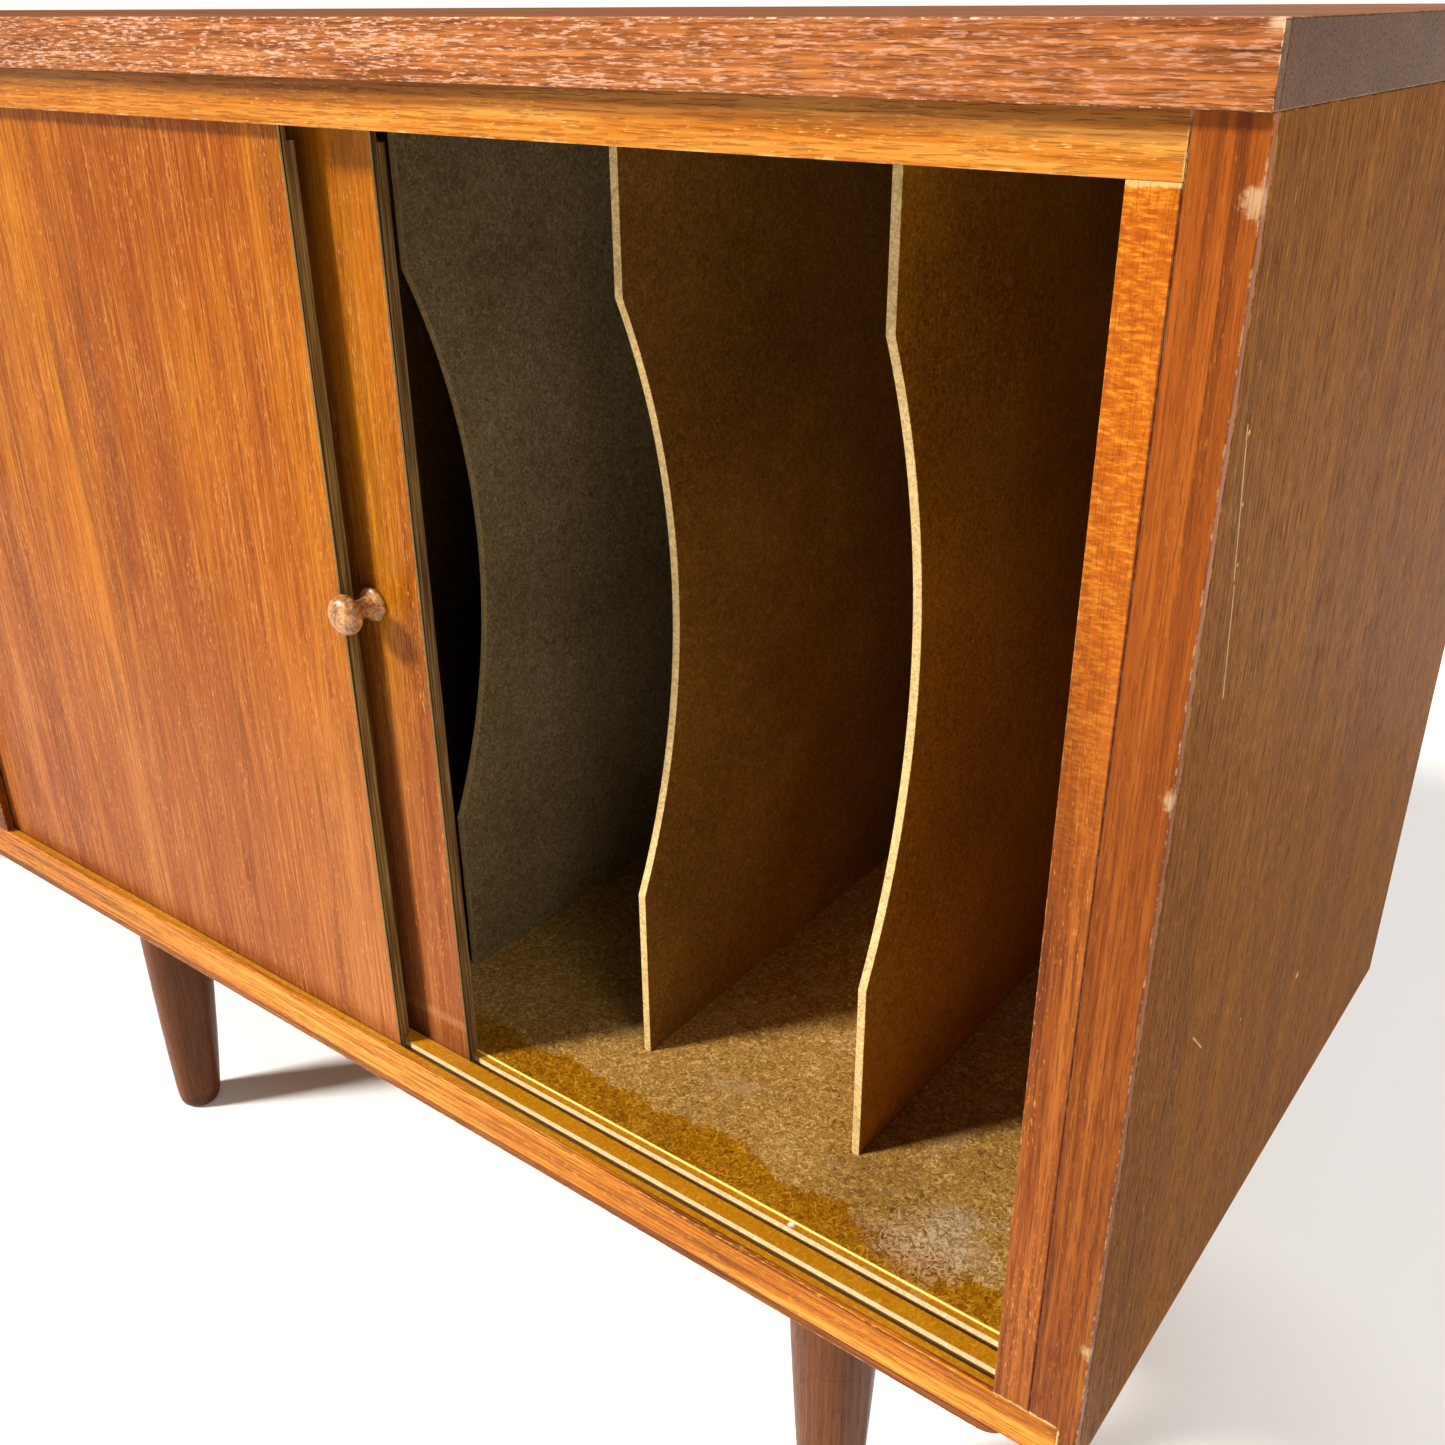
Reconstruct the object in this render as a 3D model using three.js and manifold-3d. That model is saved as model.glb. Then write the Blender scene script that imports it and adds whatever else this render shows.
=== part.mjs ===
// Radio phonograph console: a long teak cabinet on six turned legs. The right bay stores records behind
// two sliding doors, and the left bay holds a radio and a record player under a lift-up lid.
// Millimetres, +Z up, front towards -Y. Local x is 0 at the right side's outer face and runs negative to the
// left, local y is 0 at the case front and runs to the back; the root group moves the origin to the centre
// of the base.
import * as THREE from 'three';
import { mergeVertices } from 'three/addons/utils/BufferGeometryUtils.js';
import Module from 'manifold-3d';

const wasm = await Module();
wasm.setup();

// ---- driving dimensions -------------------------------------------------------------------------------
const LENGTH = 1242;            // outer face to outer face of the sides
const DEPTH = 381;              // case front to case back
const BOARD = 19;               // veneered board of the top, sides, partition and bottom
const LEG_HEIGHT = 170;         // floor to the underside of the bottom board
const OPENING = 421;            // clear height between bottom board and top rail
const RAIL = 16;                // inner top board and its front rail
const LIPPING = 3;              // solid edging of the rail and the bottom board
const SIDE_LIPPING = 4;         // solid edging of the side panels
const OVERHANG = 5;             // top board in front of the case
const TOP_SIDE = 1;             // top board beyond each side panel
const HARDBOARD = 4;
const GAP = 0.3;                // between pieces of different bodies and around loose pieces

const Z_BOTTOM = LEG_HEIGHT;
const Z_FLOOR = Z_BOTTOM + BOARD;
const Z_RAIL = Z_FLOOR + OPENING;
const Z_CASE = Z_RAIL + RAIL;
const Z_TOP = Z_CASE + BOARD;

// record bay, right of the partition
const JAMB = 14.3;
const BAY_RIGHT = -BOARD;                         // inner face of the right side
const BAY_LEFT = -714;                            // right face of the centre stile
const PARTITION_LEFT = BAY_LEFT - BOARD;
const LEFT_END = -LENGTH;
const LEFT_BAY = LEFT_END + BOARD;                // inner face of the left side

// sliding doors: a front and a rear track in the bottom board and in the inner top
const DOOR = { thick: 7.2, width: 354, tongue: 3.7, sink: 4.5, rise: 9, stepLow: 2.5, stepHigh: 6 };
const FRONT_TRACK = { groove: [5.4, 10.2], face: 6, right: -361.6 };
const REAR_TRACK = { groove: [17.5, 22.1], face: 18, right: -325.7 };
const GROOVE_LOW = 5;
const GROOVE_HIGH = 11;
const GROOVE_X = [PARTITION_LEFT + 5.3, -BOARD - JAMB + 3];
const FLOOR_EDGE = 25.3;        // front edge of the slightly raised floor
const FLOOR_STEP = 0.8;
const KNOB_INSET = 28.6;
const KNOB_Z = 420;

// record dividers
const DIVIDER_RIGHT_FACES = [-138, -257.5, -377, -496.5];
const DIVIDER = { front: 74.5, low: 90, high: 62, sag: 30, slot: 3 };

// legs and the rails they are screwed to
const LEG_RAIL = { front: 11, width: 68, thick: 19, inset: 29, round: 15 };
const LEG_X = [-129, LEFT_END / 2, LEFT_END + 129];
const LEG_RADII = [[21.4, 0], [20.6, 22], [18.6, 62], [16.1, 105], [13.6, 139], [12.5, 147.5], [10.6, 151]];
const SPLAY_SIDE = Math.tan(THREE.MathUtils.degToRad(1.7));
const SPLAY_FRONT = Math.tan(THREE.MathUtils.degToRad(2.7));

// lid over the left bay
const LID_RIGHT = (BAY_LEFT + PARTITION_LEFT) / 2 - 1;
const HINGE = {
  y: DEPTH + 3.2, z: Z_CASE + GAP / 2, radius: 2.6, pin: 1, bore: 1.15, length: 400, knuckles: 9, thick: 1.2,
};

// left bay: baffle, deck board, player and radio
const BAFFLE = { front: 20, thick: 12, hole: 61, holeX: -978, holeZ: 345 };
const WOOFER_DEPTH = 54;
const DECK_Z = 530;             // upper face of the deck board
const DECK_BOARD = 12;
const PLATE = { left: -1062, right: -742, front: 50, back: 336, thick: 3 };
const PLATTER = { x: -929, y: 187, radius: 125, height: 16, lift: 3 };
const ARM = { x: -768, y: 291, z: 572, reach: 205, tail: 40, weight: [18, 37] };
const MOTOR = { x: PLATE.left + 62, y: PLATE.back - 62, radius: 33 };
const SPEED = { x: PLATE.left + 22, y: PLATE.front + 22 };
const PANEL = { left: -1212, right: -1078, front: 50, back: 336, height: 12 };
const DIAL = { left: -1206, right: -1150, front: 62, back: 326, depth: 6 };
const CONTROL_X = -1113;
const TUNING = { y: 86, radius: 21, height: 15 };
const SMALL_KNOBS = { volume_knob: 306, tone_knob: 256 };
const SHAFT = 3;
const SHAFT_BORE = 3.4;
const KEYS = { names: ['key_off', 'key_phono', 'key_radio'], y: 142, pitch: 25, width: 22, depth: 18 };

// mains inlet in the back cover
const MAINS = { x: LEFT_BAY + 42, z: 232 };
const VENTS = { count: 14, first: LEFT_BAY + 60, pitch: 27, width: 8, height: 70, rows: [290, 470] };
const SLATS = { count: 13, width: 9, edge: 10, front: 3 };
const AMPLIFIER = { left: -1180, right: -960, front: 230, back: 340, height: 45 };
const VALVES_X = [-1092, -1064, -1036];

// ---- materials ----------------------------------------------------------------------------------------
function finish(color, roughness, metalness = 0) {
  return new THREE.MeshStandardMaterial({ color, roughness, metalness });
}

const teak = finish(0x9a5526, 0.45);
const teakLight = finish(0xc27a33, 0.42);
const teakDark = finish(0x6b4028, 0.5);
const hardboard = finish(0x8a6a3c, 0.85);
const chipboard = finish(0xa8822f, 0.6);
const cloth = finish(0xb9a583, 0.95);
const steel = finish(0x8d8f90, 0.35, 0.9);
const brass = finish(0xb08a45, 0.35, 0.9);
const aluminium = finish(0xc4c4c0, 0.32, 0.9);
const enamel = finish(0xd9d2c0, 0.4);
const rubber = finish(0x1c1c1c, 0.9);
const black = finish(0x1a1918, 0.5);
const ivory = finish(0xe6dcc2, 0.35);
const glass = finish(0xdfe8e6, 0.05);
const cone = finish(0x2b2926, 0.9);

// ---- geometry helpers ---------------------------------------------------------------------------------
function outward(geometry) {
  // merges shared corners and turns the faces out
  geometry.deleteAttribute('normal');
  geometry.deleteAttribute('uv');
  const merged = mergeVertices(geometry, 1e-4);
  const p = merged.attributes.position;
  const index = merged.index.array;
  const a = new THREE.Vector3();
  const b = new THREE.Vector3();
  const c = new THREE.Vector3();
  let volume = 0;
  const kept = [];
  for (let i = 0; i < index.length; i += 3) {
    if (index[i] === index[i + 1] || index[i + 1] === index[i + 2] || index[i] === index[i + 2]) continue;
    kept.push(index[i], index[i + 1], index[i + 2]);
    a.fromBufferAttribute(p, index[i]);
    b.fromBufferAttribute(p, index[i + 1]);
    c.fromBufferAttribute(p, index[i + 2]);
    volume += a.dot(b.cross(c));
  }
  if (volume < 0) kept.reverse();
  merged.setIndex(kept);
  return merged;
}

function toSolid(geometry) {
  const g = outward(geometry);
  return new wasm.Manifold(new wasm.Mesh({
    numProp: 3,
    vertProperties: new Float32Array(g.attributes.position.array),
    triVerts: new Uint32Array(g.index.array),
  }));
}

function fromSolid(solid) {
  const mesh = solid.getMesh();
  const g = new THREE.BufferGeometry();
  g.setAttribute('position', new THREE.BufferAttribute(new Float32Array(mesh.vertProperties), 3));
  g.setIndex(Array.from(mesh.triVerts));
  return g;
}

function cut(base, tools) {
  return fromSolid(tools.reduce((solid, tool) => solid.subtract(toSolid(tool)), toSolid(base)));
}

function join(parts) {
  return fromSolid(parts.slice(1).reduce((solid, part) => solid.add(toSolid(part)), toSolid(parts[0])));
}

function box([x0, x1], [y0, y1], [z0, z1]) {
  const g = new THREE.BoxGeometry(Math.abs(x1 - x0), Math.abs(y1 - y0), Math.abs(z1 - z0));
  return g.translate((x0 + x1) / 2, (y0 + y1) / 2, (z0 + z1) / 2);
}

function outline(points) {
  return new THREE.Shape(points.map(([u, v]) => new THREE.Vector2(u, v)));
}

function extrude(shape, depth, curveSegments = 8) {
  return new THREE.ExtrudeGeometry(shape, { depth, bevelEnabled: false, steps: 1, curveSegments });
}

// a (y, z) outline swept from x0 to x1
function alongX(shape, x0, x1, curveSegments) {
  const turn = new THREE.Matrix4().makeBasis(
    new THREE.Vector3(0, 1, 0), new THREE.Vector3(0, 0, 1), new THREE.Vector3(1, 0, 0));
  return extrude(shape, x1 - x0, curveSegments).applyMatrix4(turn).translate(x0, 0, 0);
}

// an (x, z) outline swept from y0 to y1
function alongY(shape, y0, y1, curveSegments) {
  return extrude(shape, y1 - y0, curveSegments).rotateX(Math.PI / 2).translate(0, y1, 0);
}

// an (x, y) outline swept from z0 to z1
function alongZ(shape, z0, z1, curveSegments) {
  return extrude(shape, z1 - z0, curveSegments).translate(0, 0, z0);
}

// a [radius, height] profile turned about +Z
function turned(profile, segments = 24) {
  const points = profile.map(([r, h]) => new THREE.Vector2(r, h));
  return new THREE.LatheGeometry(points, segments).rotateX(Math.PI / 2);
}

function cylinder(radius, z0, z1, x, y, segments = 24) {
  return turned([[0, z0], [radius, z0], [radius, z1], [0, z1]], segments).translate(x, y, 0);
}

function rectangle([x0, x1], [y0, y1], radius = 0) {
  const s = new THREE.Shape();
  if (radius === 0) return outline([[x0, y0], [x1, y0], [x1, y1], [x0, y1]]);
  s.moveTo(x0 + radius, y0);
  s.lineTo(x1 - radius, y0);
  s.absarc(x1 - radius, y0 + radius, radius, -Math.PI / 2, 0);
  s.lineTo(x1, y1 - radius);
  s.absarc(x1 - radius, y1 - radius, radius, 0, Math.PI / 2);
  s.lineTo(x0 + radius, y1);
  s.absarc(x0 + radius, y1 - radius, radius, Math.PI / 2, Math.PI);
  s.lineTo(x0, y0 + radius);
  s.absarc(x0 + radius, y0 + radius, radius, Math.PI, 1.5 * Math.PI);
  return s;
}

const model = new THREE.Group();
model.position.set(LENGTH / 2, -(HINGE.y + HINGE.radius - 15) / 2, 0);

function add(name, geometry, material) {
  const mesh = new THREE.Mesh(outward(geometry), material);
  mesh.name = name;
  model.add(mesh);
  return mesh;
}

// ---- case ---------------------------------------------------------------------------------------------
function topBoards() {
  const front = -OVERHANG + SIDE_LIPPING;
  add('top_board', box([LID_RIGHT + 1.5, TOP_SIDE], [front, DEPTH], [Z_CASE, Z_TOP]), teak);
  add('top_front_lipping', box([LID_RIGHT + 1.5, TOP_SIDE], [-OVERHANG, front], [Z_CASE, Z_TOP]), teak);
}

function trackGrooves(z0, z1) {
  return [FRONT_TRACK, REAR_TRACK].map((track) => box(GROOVE_X, track.groove, [z0, z1]));
}

function dividerSlots(z0, z1) {
  return DIVIDER_RIGHT_FACES.map((x) => box(
    [x - HARDBOARD - GAP, x + GAP], [DIVIDER.front - 1, DEPTH - HARDBOARD + 1], [z0, z1]));
}

function innerTop() {
  const board = box([PARTITION_LEFT, BAY_RIGHT], [LIPPING, DEPTH - HARDBOARD], [Z_RAIL, Z_CASE]);
  const tools = [...trackGrooves(Z_RAIL - 1, Z_RAIL + GROOVE_HIGH),
    ...dividerSlots(Z_RAIL - 1, Z_RAIL + DIVIDER.slot)];
  add('inner_top', cut(board, tools), chipboard);
  // thin in front of the inner top, and a full rail under the lid
  const rail = outline([[BAY_RIGHT, 0], [LEFT_BAY, 0], [LEFT_BAY, BAFFLE.front - 2],
    [PARTITION_LEFT, BAFFLE.front - 2], [PARTITION_LEFT, LIPPING], [BAY_RIGHT, LIPPING]]);
  add('top_rail', alongZ(rail, Z_RAIL, Z_CASE), teakLight);
}

const SIDE_TAIL = 7.5;          // outer part of each side that runs down past the bottom board

function bottom() {
  const ends = [LEFT_END + SIDE_TAIL, -SIDE_TAIL];
  const section = outline([[LIPPING, Z_BOTTOM], [DEPTH - HARDBOARD, Z_BOTTOM],
    [DEPTH - HARDBOARD, Z_FLOOR + FLOOR_STEP], [FLOOR_EDGE, Z_FLOOR + FLOOR_STEP], [FLOOR_EDGE, Z_FLOOR],
    [LIPPING, Z_FLOOR]]);
  const middle = [PARTITION_LEFT - GAP, BAY_LEFT + GAP];
  const clearances = [[LEFT_END, LEFT_BAY + GAP], middle, [BAY_RIGHT - GAP, 0]]
    .map((x) => box(x, [FLOOR_EDGE - 1, DEPTH], [Z_FLOOR, Z_FLOOR + 2]));
  const tools = [...trackGrooves(Z_FLOOR - GROOVE_LOW, Z_FLOOR + 1),
    ...dividerSlots(Z_FLOOR - DIVIDER.slot, Z_FLOOR + 2), ...clearances];
  add('bottom_board', cut(alongX(section, ...ends), tools), chipboard);
  add('bottom_lipping', box(ends, [0, LIPPING], [Z_BOTTOM, Z_FLOOR]), teakLight);
}

function sidePanel(side, outer, inner) {
  const tail = outer + Math.sign(inner - outer) * SIDE_TAIL;
  const profile = outline([[outer, Z_BOTTOM], [tail, Z_BOTTOM], [tail, Z_FLOOR], [inner, Z_FLOOR],
    [inner, Z_CASE], [outer, Z_CASE]]);
  add(`${side}_side`, alongY(profile, SIDE_LIPPING, DEPTH), teak);
  add(`${side}_side_lipping`, alongY(profile, 0, SIDE_LIPPING), teakLight);
}

function uprights() {
  sidePanel('right', 0, BAY_RIGHT);
  sidePanel('left', LEFT_END, LEFT_BAY);
  add('right_jamb', box([BAY_RIGHT - JAMB, BAY_RIGHT], [0, FLOOR_EDGE - GAP], [Z_FLOOR, Z_RAIL]), teakLight);
  const behind = FLOOR_EDGE + 0.7;
  const stile = outline([[BAY_LEFT, 0], [PARTITION_LEFT, 0], [PARTITION_LEFT, behind - GAP],
    [PARTITION_LEFT + 5, behind - GAP], [PARTITION_LEFT + 5, 5.2], [BAY_LEFT, 5.2]]);
  add('centre_stile', alongZ(stile, Z_FLOOR, Z_RAIL), teakLight);
  const board = box([PARTITION_LEFT, BAY_LEFT], [behind, DEPTH - HARDBOARD], [Z_FLOOR, Z_RAIL]);
  add('centre_partition', board, teak);
}

function backPanels() {
  const y = [DEPTH - HARDBOARD, DEPTH];
  const middle = (BAY_LEFT + PARTITION_LEFT) / 2;
  add('back_panel', box([middle + GAP / 2, BAY_RIGHT - GAP], y, [Z_BOTTOM + 2, Z_CASE - 1]), hardboard);
  const cover = box([LEFT_BAY + GAP, middle - GAP / 2], y, [Z_BOTTOM + 2, Z_CASE - 26]);
  const through = [y[0] - 1, y[1] + 1];
  const vents = [box([MAINS.x - 12.5, MAINS.x + 12.5], through, [MAINS.z - 8.5, MAINS.z + 8.5])];
  for (let i = 0; i < VENTS.count; i += 1) {
    const x = VENTS.first + i * VENTS.pitch;
    VENTS.rows.forEach((z) => vents.push(box([x, x + VENTS.width], through, [z, z + VENTS.height])));
  }
  add('back_cover', cut(cover, vents), hardboard);
  const rail = box([LEFT_BAY, PARTITION_LEFT], [DEPTH - 22, DEPTH], [Z_CASE - 25.5, Z_CASE - GAP]);
  add('hinge_rail', rail, teak);
  const shell = join([
    box([MAINS.x - 17, MAINS.x + 17], [DEPTH + GAP, DEPTH + 5.7], [MAINS.z - 13, MAINS.z + 13]),
    box([MAINS.x - 12, MAINS.x + 12], [DEPTH - 20, DEPTH + 1], [MAINS.z - 8, MAINS.z + 8])]);
  const socket = box([MAINS.x - 9, MAINS.x + 9], [DEPTH + 1, DEPTH + 7], [MAINS.z - 5, MAINS.z + 5]);
  add('mains_inlet', cut(shell, [socket]), black);
}

function dividers() {
  const low = Z_FLOOR - DIVIDER.slot + GAP;
  const high = Z_RAIL + DIVIDER.slot - GAP;
  const kinkLow = Z_FLOOR + DIVIDER.low;
  const kinkHigh = Z_RAIL - DIVIDER.high;
  const half = (kinkHigh - kinkLow) / 2;
  const radius = (half * half + DIVIDER.sag * DIVIDER.sag) / (2 * DIVIDER.sag);
  const sweep = Math.asin(half / radius);
  const middle = (kinkLow + kinkHigh) / 2;
  const shape = new THREE.Shape();
  shape.moveTo(DIVIDER.front, low);
  shape.lineTo(DEPTH - HARDBOARD - GAP, low);
  shape.lineTo(DEPTH - HARDBOARD - GAP, high);
  shape.lineTo(DIVIDER.front, high);
  shape.absarc(DIVIDER.front + DIVIDER.sag - radius, middle, radius, sweep, -sweep, true);
  DIVIDER_RIGHT_FACES.forEach((x, i) => {
    add(`divider_${i + 1}`, alongX(shape, x - HARDBOARD, x, 9), hardboard);
  });
}

// ---- sliding doors ------------------------------------------------------------------------------------
function slidingDoor(name, track, knobSide) {
  const face = track.face;
  const low = Z_FLOOR - DOOR.sink;
  const high = Z_RAIL + DOOR.rise;
  const section = outline([[face, low], [face + DOOR.tongue, low], [face + DOOR.tongue, Z_FLOOR + DOOR.stepLow],
    [face + DOOR.thick, Z_FLOOR + DOOR.stepLow], [face + DOOR.thick, Z_RAIL - DOOR.stepHigh],
    [face + DOOR.tongue, Z_RAIL - DOOR.stepHigh], [face + DOOR.tongue, high], [face, high]]);
  add(`${name}_door`, alongX(section, track.right - DOOR.width, track.right), teakLight);
  const x = knobSide > 0 ? track.right - KNOB_INSET : track.right - DOOR.width + KNOB_INSET;
  const profile = [[0, 0], [7.3, 0], [7.6, 1.4], [7, 2.7], [5, 3.7], [4.3, 5.6], [4.2, 8.6], [4.9, 10.8],
    [6.4, 12.4], [8.2, 13.3], [8.8, 15.2], [8.4, 17.6], [6.6, 19.7], [3.6, 20.8], [0, 21]];
  const knob = turned(profile, 20).rotateX(Math.PI / 2).translate(x, face, KNOB_Z);
  add(`${name}_door_knob`, knob, teakDark);
}

// ---- legs ---------------------------------------------------------------------------------------------
function legs() {
  const railTop = Z_BOTTOM;
  const railLow = Z_BOTTOM - LEG_RAIL.thick;
  const ends = [LEFT_END + LEG_RAIL.inset, -LEG_RAIL.inset];
  const profile = new THREE.Shape();
  profile.moveTo(ends[0], railTop);
  profile.lineTo(ends[0], railLow + LEG_RAIL.round);
  profile.absarc(ends[0] + LEG_RAIL.round, railLow + LEG_RAIL.round, LEG_RAIL.round, Math.PI, 1.5 * Math.PI);
  profile.lineTo(ends[1] - LEG_RAIL.round, railLow);
  const corner = [ends[1] - LEG_RAIL.round, railLow + LEG_RAIL.round];
  profile.absarc(...corner, LEG_RAIL.round, 1.5 * Math.PI, 2 * Math.PI);
  profile.lineTo(ends[1], railTop);
  const rows = {
    front: { near: LEG_RAIL.front, lean: -1 },
    rear: { near: DEPTH - LEG_RAIL.front - LEG_RAIL.width, lean: 1 },
  };
  for (const [row, { near, lean }] of Object.entries(rows)) {
    add(`leg_rail_${row}`, alongY(profile, near, near + LEG_RAIL.width, 6), teak);
    ['right', 'centre', 'left'].forEach((place, i) => {
      const outwards = (1 - i) * SPLAY_SIDE;
      const profileUp = LEG_RADII.map(([r, down]) => [r, -down]);
      const leg = turned([[0, 0], ...profileUp, [0, -railLow]], 22);
      // a shear leans the leg and keeps its top and its foot level
      const shear = new THREE.Matrix4().makeShear(0, 0, 0, 0, -outwards, -lean * SPLAY_FRONT);
      leg.applyMatrix4(shear).translate(LEG_X[i], near + LEG_RAIL.width / 2, railLow);
      add(`leg_${row}_${place}`, leg, teakDark);
    });
  }
}

// ---- lid ----------------------------------------------------------------------------------------------
function lid() {
  add('lid', box([LEFT_END - TOP_SIDE, LID_RIGHT], [-OVERHANG, DEPTH], [Z_CASE + GAP, Z_TOP]), teak);
  const middle = (LEFT_BAY + PARTITION_LEFT) / 2;
  const start = middle - HINGE.length / 2;
  const pitch = HINGE.length / HINGE.knuckles;
  const round = (radius, x0, x1) => turned([[0, 0], [radius, 0], [radius, x1 - x0], [0, x1 - x0]], 8)
    .rotateY(Math.PI / 2).translate(x0, HINGE.y, HINGE.z);
  const span = [start, start + HINGE.length];
  const plate = [DEPTH + GAP, DEPTH + GAP + HINGE.thick];
  const caseParts = [box(span, plate, [Z_CASE - 22, Z_CASE - 3])];
  const lidParts = [box(span, plate, [Z_CASE + 3.4, Z_CASE + 17])];
  const bores = [];
  for (let i = 0; i < HINGE.knuckles; i += 1) {
    const knuckle = [start + i * pitch + 0.25, start + (i + 1) * pitch - 0.25];
    const onCase = i % 2 === 0;
    const web = onCase ? [HINGE.z - 4, HINGE.z] : [HINGE.z, HINGE.z + 4];
    const parts = onCase ? caseParts : lidParts;
    parts.push(round(HINGE.radius, ...knuckle));
    parts.push(box(knuckle, plate, web));
    if (!onCase) bores.push(round(HINGE.bore, knuckle[0] - 1, knuckle[1] + 1));
  }
  caseParts.push(round(HINGE.pin, start + 1, start + HINGE.length - 1));
  add('lid_hinge_case_leaf', join(caseParts), brass);
  add('lid_hinge_lid_leaf', cut(join(lidParts), bores), brass);
}

// ---- loudspeaker front --------------------------------------------------------------------------------
function speakerFront() {
  const board = rectangle([LEFT_BAY + GAP, PARTITION_LEFT - GAP], [Z_FLOOR + 1, Z_CASE - 0.5]);
  const hole = new THREE.Path();
  hole.absarc(BAFFLE.holeX, BAFFLE.holeZ, BAFFLE.hole, 0, 2 * Math.PI);
  board.holes.push(hole);
  add('speaker_baffle', alongY(board, BAFFLE.front, BAFFLE.front + BAFFLE.thick, 20), chipboard);
  add('grille_cloth', box([LEFT_BAY + GAP, PARTITION_LEFT - GAP], [BAFFLE.front - 1.4, BAFFLE.front - GAP],
    [Z_FLOOR + GAP, Z_RAIL - GAP]), cloth);
  const depth = [SLATS.front, BAFFLE.front - 2];
  const inside = PARTITION_LEFT - LEFT_BAY - 2 * SLATS.edge;
  const gap = (inside - SLATS.count * SLATS.width) / (SLATS.count + 1);
  const gaps = [];
  for (let i = 0; i <= SLATS.count; i += 1) {
    const x = LEFT_BAY + SLATS.edge + i * (gap + SLATS.width);
    gaps.push(box([x, x + gap], [depth[0] - 1, depth[1] + 1], [Z_FLOOR + SLATS.edge, Z_RAIL - SLATS.edge]));
  }
  const frame = box([LEFT_BAY + GAP, PARTITION_LEFT - GAP], depth, [Z_FLOOR + GAP, Z_RAIL - GAP]);
  add('grille_slats', cut(frame, gaps), teakLight);
  // dished basket with its cone in front and the magnet behind, turned about the speaker's axis
  const profile = [[0, 0], [27, 0], [27, 20], [34, 20], [66, 48], [82, 50], [82, WOOFER_DEPTH],
    [62, WOOFER_DEPTH], [58, 50], [18, 27], [11, 33], [0, 35]];
  const woofer = turned(profile, 28).rotateX(Math.PI / 2)
    .translate(BAFFLE.holeX, BAFFLE.front + BAFFLE.thick + WOOFER_DEPTH + GAP, BAFFLE.holeZ);
  add('woofer', woofer, cone);
}

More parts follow.
